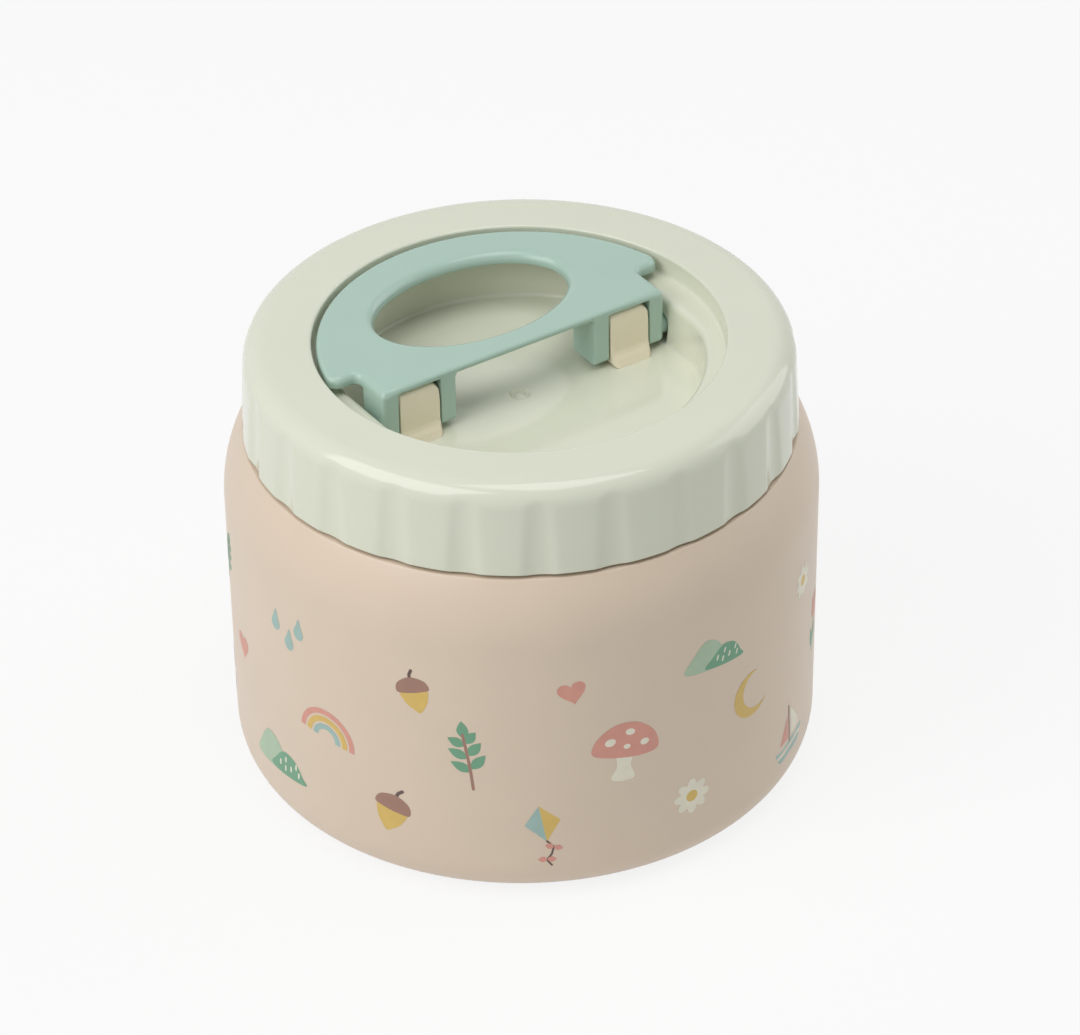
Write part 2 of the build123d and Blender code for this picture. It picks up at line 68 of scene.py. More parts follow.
# ---- Node trees -----------------------------------------------------------------
class Wiring:
    """Adds nodes to one node tree and joins them."""

    def __init__(self, tree: bpy.types.NodeTree) -> None:
        """Empties the tree.

        Args:
            tree: the shader or geometry tree to fill.
        """
        self.tree = tree
        tree.nodes.clear()

    def feed(self, socket: bpy.types.NodeSocket, value: object) -> None:
        """Links a socket to another, or gives it a value.

        Args:
            socket: the input.
            value: an output socket, or a plain value.
        """
        if isinstance(value, bpy.types.NodeSocket):
            self.tree.links.new(value, socket)
        else:
            socket.default_value = value

    def add(self, kind: str, inputs: dict | None = None, **settings: object) -> bpy.types.Node:
        """Adds one node.

        Args:
            kind: the node's type.
            inputs: what each named or numbered input gets.
            settings: the node's own properties.

        Returns:
            The node.
        """
        node = self.tree.nodes.new(kind)
        for name, value in settings.items():
            setattr(node, name, value)
        for name, value in (inputs or {}).items():
            self.feed(node.inputs[name], value)
        return node

    def math(self, operation: str, *values: object) -> bpy.types.NodeSocket:
        """Adds a Math node.

        Args:
            operation: the node's operation.
            values: its inputs in order.

        Returns:
            The result.
        """
        node = self.tree.nodes.new("ShaderNodeMath")
        node.operation = operation
        for socket, value in zip(node.inputs, values):
            self.feed(socket, value)
        return node.outputs[0]

    def vector(self, x: object = 0.0, y: object = 0.0, z: object = 0.0) -> bpy.types.NodeSocket:
        """A vector made of three values."""
        return self.add("ShaderNodeCombineXYZ", {0: x, 1: y, 2: z}).outputs[0]

    def parts(self, vector: object) -> Sequence[bpy.types.NodeSocket]:
        """The three values of a vector."""
        return self.add("ShaderNodeSeparateXYZ", {0: vector}).outputs

    def sees_backdrop(self) -> bpy.types.NodeSocket:
        """Is 1 for the rays of the camera, of reflections and of clear materials, and else 0."""
        path = self.add("ShaderNodeLightPath").outputs
        clear = self.math("MAXIMUM", path["Is Glossy Ray"], path["Is Transmission Ray"])
        return self.math("MAXIMUM", path["Is Camera Ray"], clear)

    def close(self, out: bpy.types.Node, geometry: object, material: object) -> None:
        """Ends a geometry tree with real copies that carry a material.

        Args:
            out: the tree's output node.
            geometry: what it gives.
            material: the material.
        """
        real = self.add("GeometryNodeRealizeInstances", {0: geometry})
        dressed = self.add("GeometryNodeSetMaterial", {"Geometry": real.outputs[0], "Material": material})
        self.feed(out.inputs[0], dressed.outputs[0])


def geometry_tree(name: str, counts: Sequence[str], sizes: Sequence[str],
                  material: str) -> tuple[Wiring, Sequence[bpy.types.NodeSocket], bpy.types.Node]:
    """Starts a Geometry Nodes tree with named inputs.

    Args:
        name: the tree's name.
        counts: names of the inputs that are whole numbers.
        sizes: names of the inputs that are other numbers.
        material: name of the input that is a material.

    Returns:
        The wiring, the tree's inputs and its output node.
    """
    tree = bpy.data.node_groups.new(name, "GeometryNodeTree")
    tree.is_modifier = True
    tree.interface.new_socket("Geometry", in_out="OUTPUT", socket_type="NodeSocketGeometry")
    tree.interface.new_socket("Geometry", in_out="INPUT", socket_type="NodeSocketGeometry")
    kinds = {**dict.fromkeys(counts, "NodeSocketInt"), **dict.fromkeys(sizes, "NodeSocketFloat"),
             material: "NodeSocketMaterial"}
    for label, kind in kinds.items():
        tree.interface.new_socket(label, in_out="INPUT", socket_type=kind)
    wiring = Wiring(tree)
    return wiring, wiring.add("NodeGroupInput").outputs, wiring.add("NodeGroupOutput")


def run_tree(piece: bpy.types.Object, tree: bpy.types.NodeTree, values: dict[str, object]) -> None:
    """Runs a Geometry Nodes tree on a piece and keeps the result as its plain mesh.

    Args:
        piece: the object to change.
        tree: the tree.
        values: what each named input gets.
    """
    modifier = piece.modifiers.new(tree.name, "NODES")
    modifier.node_group = tree
    for item in tree.interface.items_tree:
        if item.in_out == "INPUT" and item.name in values:
            modifier[item.identifier] = values[item.name]
    bake(piece)


# ---- Finishes -------------------------------------------------------------------
def linear(colour: Sequence[float]) -> tuple[float, float, float, float]:
    """Turns a colour from sRGB into the renderer's linear values.

    Args:
        colour: red, green and blue from 0 to 1.

    Returns:
        Linear red, green, blue and an alpha of 1.
    """
    red, green, blue = (c / 12.92 if c <= 0.04045 else ((c + 0.055) / 1.055) ** 2.4 for c in colour)
    return red, green, blue, 1.0


@dataclass(frozen=True)
class Finish:
    """A moulded, coated or printed surface. Lengths are in millimetres."""

    name: str
    colour: tuple[float, float, float]
    roughness: float
    slot: str = ""
    mottle: float = 0.010
    mottle_size: float = 14.0
    polish: float = 0.02
    polish_size: float = 12.0
    grain: float = 0.30
    grain_depth: float = 0.0016
    wave: float = 9.0
    wave_depth: float = 0.006
    specular: float = 0.5
    metallic: float = 0.0
    sheen: float = 0.0
    subsurface: float = 0.0
    depth: float = 1.0

    def noise(self, wiring: Wiring, place: object, size: float, detail: float = 2.0) -> bpy.types.NodeSocket:
        """Noise whose blotches have a given size.

        Args:
            wiring: the tree.
            place: the coordinates.
            size: blotch size.
            detail: octaves.

        Returns:
            The noise, from 0 to 1.
        """
        node = wiring.add("ShaderNodeTexNoise", {"Vector": place, "Scale": 1 / (size * MM), "Detail": detail,
                                                 "Roughness": NOISE_ROUGHNESS})
        return node.outputs["Fac"]

    def spread(self, wiring: Wiring, value: object, low: float, high: float) -> bpy.types.NodeSocket:
        """Stretches the middle of a noise over a range.

        Args:
            wiring: the tree.
            value: the noise.
            low: the least result.
            high: the greatest result.

        Returns:
            The stretched value.
        """
        node = wiring.add("ShaderNodeMapRange", {"Value": value, "From Min": NOISE_LOW,
                                                 "From Max": NOISE_HIGH, "To Min": low, "To Max": high})
        return node.outputs["Result"]

    def tint(self, wiring: Wiring, place: object) -> bpy.types.NodeSocket:
        """Colour that wanders slightly about the finish's own.

        Args:
            wiring: the tree.
            place: the coordinates.

        Returns:
            The colour.
        """
        broad = self.spread(wiring, self.noise(wiring, place, self.mottle_size, 3.0), 0.0, 1.0)
        dark = linear([c * (1 - self.mottle) for c in self.colour])
        light = linear([min(1.0, c * (1 + self.mottle)) for c in self.colour])
        mix = wiring.add("ShaderNodeMix", {0: broad, 6: dark, 7: light}, data_type="RGBA")
        return mix.outputs[2]

    def relief(self, wiring: Wiring, place: object) -> bpy.types.NodeSocket:
        """Fine grain over long shallow waves.

        Args:
            wiring: the tree.
            place: the coordinates.

        Returns:
            The normal.
        """
        waves = wiring.add("ShaderNodeBump", {"Strength": 1.0, "Distance": self.wave_depth * MM,
                                              "Height": self.noise(wiring, place, self.wave)})
        grain = wiring.add("ShaderNodeBump", {"Strength": 1.0, "Distance": self.grain_depth * MM,
                                              "Height": self.noise(wiring, place, self.grain),
                                              "Normal": waves.outputs[0]})
        return grain.outputs[0]

    def material(self) -> bpy.types.Material:
        """The finish as a Blender material, made once."""
        found = bpy.data.materials.get(self.name)
        if found:
            return found
        material = bpy.data.materials.new(self.name)
        material.use_nodes = True
        wiring = Wiring(material.node_tree)
        place = wiring.add("ShaderNodeTexCoord").outputs["Object"]
        blur = self.noise(wiring, place, self.polish_size)
        shader = wiring.add("ShaderNodeBsdfPrincipled", {
            "Base Color": self.tint(wiring, place),
            "Roughness": self.spread(wiring, blur, self.roughness - self.polish,
                                     self.roughness + self.polish),
            "Normal": self.relief(wiring, place),
            "Specular IOR Level": self.specular,
            "Metallic": self.metallic,
            "Sheen Weight": self.sheen,
            "Subsurface Weight": self.subsurface,
            "Subsurface Radius": (self.depth, self.depth, self.depth),
            "Subsurface Scale": MM,
        })
        wiring.add("ShaderNodeOutputMaterial", {"Surface": shader.outputs[0]})
        return material


@dataclass(frozen=True)
class TurnedSteel(Finish):
    """Drawn and turned steel, with fine rings round the jar's axis."""

    ring: float = 0.12
    ring_depth: float = 0.0006

    def relief(self, wiring: Wiring, place: object) -> bpy.types.NodeSocket:
        """Rings that depend only on the radius and the height.

        Args:
            wiring: the tree.
            place: the coordinates.

        Returns:
            The normal.
        """
        x, y, z = wiring.parts(place)
        square = wiring.math("ADD", wiring.math("POWER", x, 2.0), wiring.math("POWER", y, 2.0))
        rings = wiring.vector(wiring.math("SQRT", square), z)
        bump = wiring.add("ShaderNodeBump", {"Strength": 1.0, "Distance": self.ring_depth * MM,
                                             "Height": self.noise(wiring, rings, self.ring)})
        return bump.outputs[0]


COAT = Finish("powder_coat_beige", (0.881, 0.799, 0.726), 0.40, "coated_steel", mottle=0.005,
              grain=0.45, grain_depth=0.0020, wave=6.0, wave_depth=0.004)
LID_PLASTIC = Finish("lid_plastic_pale_green", (0.877, 0.879, 0.811), 0.11, "pale_green_plastic",
                     mottle=0.004, mottle_size=20.0, grain_depth=0.0001, wave=9.0, wave_depth=0.008)
HANDLE_PLASTIC = Finish("handle_plastic_mint", (0.682, 0.784, 0.740), 0.17, "mint_plastic", mottle=0.006,
                        grain_depth=0.0003, wave=7.0, wave_depth=0.006)
POST_PLASTIC = Finish("post_plastic_cream", (0.948, 0.902, 0.812), 0.32, "cream_plastic", mottle=0.008,
                      mottle_size=5.0, grain_depth=0.0004, wave=3.5, wave_depth=0.006)
LINER_PLASTIC = Finish("liner_plastic_cream", (0.875, 0.850, 0.765), 0.40, "cream_plastic", subsurface=0.1)
SILICONE = Finish("silicone_milky", (0.840, 0.840, 0.815), 0.55, "silicone", sheen=0.15, subsurface=0.3)
STEEL = TurnedSteel("steel_turned", (0.780, 0.770, 0.755), 0.27, "bare_steel", mottle=0.02, metallic=1.0)
SOLDER = Finish("solder_dull", (0.600, 0.600, 0.590), 0.55, "solder", mottle=0.05, mottle_size=1.5, grain=0.5,
                grain_depth=0.02, metallic=1.0)
GETTER = Finish("getter_sintered", (0.330, 0.330, 0.340), 0.85, "getter_alloy", mottle=0.06, mottle_size=1.0,
                grain=0.25, grain_depth=0.03)
PIN_STEEL = Finish("pin_ground_steel", (0.760, 0.760, 0.755), 0.20, "pin_steel", metallic=1.0,
                   wave_depth=0.001)
BASE_RUBBER = Finish("base_rubber_grey", (0.660, 0.640, 0.590), 0.78, "base_rubber", mottle=0.02, grain=0.25,
                     grain_depth=0.012, sheen=0.1)
FOAM = Finish("foam_white", (0.940, 0.940, 0.920), 0.90, "foam", mottle=0.02, mottle_size=1.2, grain=0.6,
              grain_depth=0.05)


class Ink(Enum):
    """Screen-printing inks of the pattern round the jar, as sRGB colours."""

    MUSTARD = (0.860, 0.722, 0.400)
    LEAF = (0.440, 0.640, 0.520)
    BARK = (0.640, 0.480, 0.425)
    CORAL = (0.860, 0.600, 0.545)
    SKY = (0.625, 0.735, 0.715)
    SAGE = (0.690, 0.770, 0.670)
    COCOA = (0.400, 0.310, 0.290)
    MILK = (0.930, 0.900, 0.835)

    def finish(self) -> Finish:
        """The ink's finish: slightly smoother than the coat that it lies on."""
        return Finish(f"ink_{self.name.lower()}", self.value, 0.44, mottle=0.018, mottle_size=2.4, grain=0.36,
                      grain_depth=0.003, wave_depth=0.002)


# ---- Meshes ---------------------------------------------------------------------
def place_piece(name: str, points: np.ndarray, faces: list) -> bpy.types.Object:
    """Makes an object from points in millimetres.

    Args:
        name: the piece's name.
        points: one row for each vertex.
        faces: vertex numbers of each face.

    Returns:
        The object, linked to the scene.
    """
    mesh = bpy.data.meshes.new(name)
    mesh.from_pydata((np.asarray(points, float) * MM).tolist(), [], faces)
    mesh.update()
    piece = bpy.data.objects.new(name, mesh)
    bpy.context.scene.collection.objects.link(piece)
    return piece


def bake(piece: bpy.types.Object) -> None:
    """Applies a piece's modifiers to its mesh and removes them.

    Args:
        piece: the object.
    """
    graph = bpy.context.evaluated_depsgraph_get()
    mesh = bpy.data.meshes.new_from_object(piece.evaluated_get(graph), preserve_all_data_layers=True,
                                           depsgraph=graph)
    piece.modifiers.clear()
    old = piece.data
    piece.data = mesh
    bpy.data.meshes.remove(old)


def shade(piece: bpy.types.Object, angle: float = 35.0) -> None:
    """Shades a piece smooth, apart from edges sharper than an angle.

    Args:
        piece: the object.
        angle: the angle, in degrees.
    """
    piece.data.shade_smooth()
    piece.data.set_sharp_from_angle(angle=radians(angle))


def dress(piece: bpy.types.Object, finish: Finish, body: Body, *nodes: str) -> bpy.types.Object:
    """Gives a piece its finish and body, and hides the nodes that it stands for.

    Args:
        piece: the object.
        finish: its finish.
        body: the body that it rides on.
        nodes: the nodes that it replaces.

    Returns:
        The piece.
    """
    piece.data.materials.clear()
    piece.data.materials.append(finish.material())
    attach(piece, body.value)
    if nodes:
        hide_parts(*nodes)
    LOG.info("%s: %d faces, rides on %s", piece.name, len(piece.data.polygons), body.value)
    return piece


def rounded(corners: Sequence[Corner], step: float = 10.0, margin: float = 0.12) -> Outline:
    """Rounds the corners of a closed section.

    Args:
        corners: radius and height of each corner, and its rounding if it has one.
        step: angle between points of a rounding, in degrees.
        margin: how far beyond a rounding the flats get a point that keeps their shading flat.

    Returns:
        The section's points.
    """
    spots = np.array([corner[:2] for corner in corners], float)
    count = len(spots)
    roundings = [corner[2] if len(corner) > 2 else 0.0 for corner in corners]
    ways = np.roll(spots, -1, axis=0) - spots
    lengths = np.hypot(*ways.T)
    units = ways / lengths[:, None]
    halves = [acos(float(np.clip(-units[i - 1] @ units[i], -1, 1))) / 2 for i in range(count)]
    reach = [rounding / tan(half) if rounding else 0.0 for rounding, half in zip(roundings, halves)]
    points = []
    for i, (spot, rounding) in enumerate(zip(spots, roundings)):
        if not rounding:
            points.append(spot)
            continue
        back, ahead = -units[i - 1], units[i]
        middle = spot + (back + ahead) / np.hypot(*(back + ahead)) * rounding / sin(halves[i])
        first, last = spot + back * reach[i], spot + ahead * reach[i]
        if lengths[i - 1] - reach[i] - reach[i - 1] > 3 * margin:
            points.append(first + back * margin)
        arm, end = first - middle, last - middle
        turn = atan2(arm[0] * end[1] - arm[1] * end[0], arm @ end)
        steps = max(2, ceil(abs(degrees(turn)) / (step if rounding > SMALL_ROUNDING else LONGER * step)))
        for k in range(steps + 1):
            a = turn * k / steps
            points.append(middle + (arm[0] * cos(a) - arm[1] * sin(a), arm[0] * sin(a) + arm[1] * cos(a)))
        if lengths[i] - reach[i] - reach[(i + 1) % count] > 3 * margin:
            points.append(last + ahead * margin)
    return np.array(points)


def divided(points: Outline, longest: float, least_r: float) -> Outline:
    """Divides the long runs of a section that lie beyond a radius.

    Args:
        points: the section.
        longest: the longest run left there.
        least_r: the radius.

    Returns:
        The section with more points.
    """
    made = []
    for here, there in zip(points, np.roll(points, -1, axis=0)):
        made.append(here)
        run = np.hypot(*(there - here))
        if run > longest and min(here[0], there[0]) > least_r:
            steps = ceil(run / longest)
            made.extend(here + (there - here) * k / steps for k in range(1, steps))
    return np.array(made)


def turned(name: str, section: Outline, segments: int, bend: Field | None = None) -> bpy.types.Object:
    """Turns a closed section about the jar's axis.

    Args:
        name: the piece's name.
        section: radius and height of each point.
        segments: steps round the axis.
        bend: gives the radius of points from their radius, height and angle.

    Returns:
        The piece, with its faces outwards.
    """
    angle = np.arange(segments) * tau / segments
    points, rings = [], []
    for radius, height in section:
        rings.append((len(points), radius < 1e-6))
        if radius < 1e-6:
            points.append((0.0, 0.0, height))
            continue
        r = np.full(segments, radius)
        if bend:
            r = bend(r, np.full(segments, height), angle)
        points.extend(zip(r * np.cos(angle), r * np.sin(angle), np.full(segments, height)))
    faces = []
    step = np.arange(segments)
    after = (step + 1) % segments
    for (a, a_pole), (b, b_pole) in zip(rings, rings[1:] + rings[:1]):
        if a_pole and b_pole:
            continue
        if a_pole:
            faces.extend(zip([a] * segments, b + step, b + after))
        elif b_pole:
            faces.extend(zip(a + after, a + step, [b] * segments))
        else:
            faces.extend(zip(a + after, a + step, b + step, b + after))
    area = np.sum(section[:, 0] * np.roll(section[:, 1], -1) - np.roll(section[:, 0], -1) * section[:, 1])
    if area > 0:
        faces = [face[::-1] for face in faces]
    piece = place_piece(name, np.array(points), [[int(v) for v in face] for face in faces])
    shade(piece)
    return piece


def cut(piece: bpy.types.Object, cutters: Sequence[bpy.types.Object]) -> None:
    """Cuts closed shapes out of a piece.

    Args:
        piece: the piece.
        cutters: the shapes, which are used up.
    """
    for cutter in cutters:
        modifier = piece.modifiers.new("cut", "BOOLEAN")
        modifier.operation = "DIFFERENCE"
        modifier.solver = "EXACT"
        modifier.object = cutter
    bake(piece)
    for cutter in cutters:
        mesh = cutter.data
        bpy.data.objects.remove(cutter)
        bpy.data.meshes.remove(mesh)


def loft(rings: Sequence[Sequence[tuple[float, float, float]]]) -> bpy.types.Object:
    """Closed solid through a row of rings, used as a cutter.

    Args:
        rings: corners of each ring, which run anticlockwise as seen from the last ring.

    Returns:
        The solid.
    """
    count, last = len(rings[0]), (len(rings) - 1) * len(rings[0])
    faces = [list(range(count))[::-1], list(range(last, last + count))]
    for k in range(0, last, count):
        for i in range(count):
            after = (i + 1) % count
            faces.append([k + i, k + after, k + count + after, k + count + i])
    return place_piece("cutter", np.concatenate([np.array(ring) for ring in rings]), faces)


# ---- Surfaces from fields -------------------------------------------------------
CORNERS = [(i, j, k) for i in (0, 1) for j in (0, 1) for k in (0, 1)]
EDGES = [(a, b) for a in range(8) for b in range(a + 1, 8)
         if sum(abs(p - q) for p, q in zip(CORNERS[a], CORNERS[b])) == 1]


def ramp(value: np.ndarray, start: float, end: float) -> np.ndarray:
    """Share of the way that a value has gone from a start to an end, from 0 to 1."""
    return np.clip((value - start) / (end - start), 0, 1)


def meet(a: np.ndarray, b: np.ndarray, rounding: object) -> np.ndarray:
    """What two solids share, with a rounded edge where they cross."""
    return np.minimum(np.maximum(a, b), -rounding) + np.hypot(
        np.maximum(a + rounding, 0), np.maximum(b + rounding, 0))


def join(a: np.ndarray, b: np.ndarray, rounding: object) -> np.ndarray:
    """Two solids together, with a fillet where they meet."""
    return -meet(-a, -b, rounding)


def soft_min(a: np.ndarray, b: np.ndarray, blend: float) -> np.ndarray:
    """The lesser of two values, blended where they are close."""
    share = np.clip(0.5 + 0.5 * (b - a) / blend, 0, 1)
    return b * (1 - share) + a * share - blend * share * (1 - share)


def slope(solid: Field, p: np.ndarray, reach: float = 0.02) -> np.ndarray:
    """Gradient of a field.

    Args:
        solid: the field.
        p: one row for each point.
        reach: half the distance over which it is measured.

    Returns:
        One row for each point.
    """
    rows = []
    for axis in range(3):
        offset = np.zeros(3)
        offset[axis] = reach
        rows.append((solid(*(p + offset).T) - solid(*(p - offset).T)) / (2 * reach))
    return np.stack(rows, axis=1)


def crossed_middles(values: np.ndarray, cells: np.ndarray) -> np.ndarray:
    """Middle of the points where a surface crosses the edges of each cell.

    Args:
        values: the field at the corners of a grid.
        cells: lowest corner of each cell that the surface crosses.

    Returns:
        One point for each cell, in steps of the grid.
    """
    held = [values[tuple((cells + corner).T)] for corner in CORNERS]
    summed, hits = np.zeros((len(cells), 3)), np.zeros(len(cells))
    for a, b in EDGES:
        crossed = (held[a] < 0) != (held[b] < 0)
        share = np.where(crossed, held[a] / np.where(crossed, held[a] - held[b], 1), 0)
        spot = np.array(CORNERS[a]) + share[:, None] * (np.array(CORNERS[b]) - np.array(CORNERS[a]))
        summed += spot * crossed[:, None]
        hits += crossed
    return cells + summed / hits[:, None]


def faces_across(inside: np.ndarray, number: np.ndarray, axis: int) -> list[list[int]]:
    """Faces where a surface crosses the edges of a grid along one axis.

    Args:
        inside: which corners of the grid lie inside.
        number: number of the point in each cell.
        axis: the axis.

    Returns:
        Four point numbers for each face, which faces outwards.
    """
    one, two = [v for v in range(3) if v != axis]
    ahead = np.take(inside, range(1, inside.shape[axis]), axis)
    behind = np.take(inside, range(inside.shape[axis] - 1), axis)
    edges = np.argwhere(ahead != behind)
    edges = edges[(edges[:, one] > 0) & (edges[:, two] > 0)]
    edges = edges[(edges[:, one] < number.shape[one]) & (edges[:, two] < number.shape[two])]
    ring = []
    for step_one, step_two in ((-1, -1), (0, -1), (0, 0), (-1, 0)):
        spot = edges.copy()
        spot[:, one] += step_one
        spot[:, two] += step_two
        ring.append(number[tuple(spot.T)])
    quads = np.stack(ring, axis=1)
    leaving = behind[tuple(edges.T)]
    flip = leaving if axis == 1 else ~leaving
    quads[flip] = quads[flip][:, ::-1]
    return quads.tolist()


def skin(name: str, solid: Field, space: tuple[Corner, Corner], cell: float) -> bpy.types.Object:
    """Wraps a mesh round the solid whose field is negative inside it.

    Args:
        name: the piece's name.
        solid: the field.
        space: lowest and highest corner of the space to search.
        cell: mesh size.

    Returns:
        The piece, shaded by the field's own slope.
    """
    slab_rows, settling_steps, least_slope = 24, 4, 0.05
    axes = [np.arange(low - cell, high + 2 * cell, cell) for low, high in zip(*space)]
    slabs = np.array_split(axes[0], ceil(len(axes[0]) / slab_rows))
    values = np.concatenate([solid(*np.meshgrid(slab, axes[1], axes[2], indexing="ij")) for slab in slabs])
    inside = values < 0
    a, b, c = size = tuple(n - 1 for n in inside.shape)
    filled = sum(inside[i:i + a, j:j + b, k:k + c].astype(np.int8) for i, j, k in CORNERS)
    cells = np.argwhere((filled > 0) & (filled < len(CORNERS)))
    number = np.full(size, -1)
    number[tuple(cells.T)] = np.arange(len(cells))
    points = np.array([axis[0] for axis in axes]) + crossed_middles(values, cells) * cell
    for _ in range(settling_steps):
        lean = slope(solid, points)
        move = lean * (solid(*points.T) / np.maximum((lean ** 2).sum(axis=1), least_slope))[:, None]
        points -= np.clip(move, -cell / 2, cell / 2)
    faces = [face for axis in range(3) for face in faces_across(inside, number, axis)]
    piece = place_piece(name, points, faces)
    piece.data.shade_smooth()
    lean = slope(solid, points)
    lean /= np.maximum(np.linalg.norm(lean, axis=1, keepdims=True), 1e-9)
    piece.data.normals_split_custom_set_from_vertices(lean.tolist())
    return piece


# ---- Printed pattern ------------------------------------------------------------
def oval(x: float, y: float, half_w: float, half_h: float, turn: float = 0.0) -> Outline:
    """Ellipse as an outline, turned by some degrees about its middle."""
    a = np.linspace(0, tau, max(16, int(7 * max(half_w, half_h))), endpoint=False)
    flat = np.stack([half_w * np.cos(a), half_h * np.sin(a)], axis=1)
    return spun(flat, turn) + (x, y)


def spun(points: Outline, turn: float) -> Outline:
    """Points turned by some degrees about the origin."""
    c, s = cos(radians(turn)), sin(radians(turn))
    return points @ np.array([[c, s], [-s, c]])


def soft(*spots: tuple[float, float]) -> Outline:
    """Closed smooth outline through a few points."""
    p = np.array(spots, float)
    before, after, beyond = np.roll(p, 1, 0), np.roll(p, -1, 0), np.roll(p, -2, 0)
    made = []
    for t in np.linspace(0, 1, 9)[:-1]:
        made.append(0.5 * (2 * p + (after - before) * t + (2 * before - 5 * p + 4 * after - beyond) * t ** 2
                           + (3 * p - before - 3 * after + beyond) * t ** 3))
    return np.stack(made, axis=1).reshape(-1, 2)


def brush(width: float, *spots: tuple[float, float]) -> Outline:
    """Stroke of a given width along a few points, with round ends."""
    p = np.array(spots, float)
    way = np.gradient(p, axis=0)
    way /= np.linalg.norm(way, axis=1, keepdims=True)
    side = np.stack([-way[:, 1], way[:, 0]], axis=1) * width / 2
    arc = np.linspace(0, pi, 7)[1:-1, None]
    end = p[-1] + side[-1] * np.cos(arc) + way[-1] * np.sin(arc) * width / 2
    start = p[0] - side[0] * np.cos(arc) - way[0] * np.sin(arc) * width / 2
    return np.concatenate([p + side, end, (p - side)[::-1], start])


def leaf(x: float, y: float, length: float, width: float, turn: float) -> Outline:
    """Leaf that grows from a point, pointed at both ends, turned by some degrees from upright."""
    t = np.linspace(0, 1, 9)
    bulge = width / 2 * np.sin(pi * t ** 0.85)
    right = np.stack([bulge, t * length], axis=1)
    left = np.stack([-bulge, t * length], axis=1)[::-1][1:-1]
    return spun(np.concatenate([right, left]), turn) + (x, y)


def covers(outline: Outline, points: np.ndarray) -> np.ndarray:
    """Which of some points lie inside a closed outline."""
    a, b = outline, np.roll(outline, -1, 0)
    above = (a[:, 1] > points[:, 1:]) != (b[:, 1] > points[:, 1:])
    rise = np.where(b[:, 1] == a[:, 1], 1.0, b[:, 1] - a[:, 1])
    cross = a[:, 0] + (points[:, 1:] - a[:, 1]) * (b[:, 0] - a[:, 0]) / rise
    return (above & (points[:, :1] < cross)).sum(axis=1) % 2 == 1


Patch = tuple[Ink, Outline]
Row = tuple[float, float, tuple[tuple[Callable[[], list[Patch]], float, float, float], ...]]


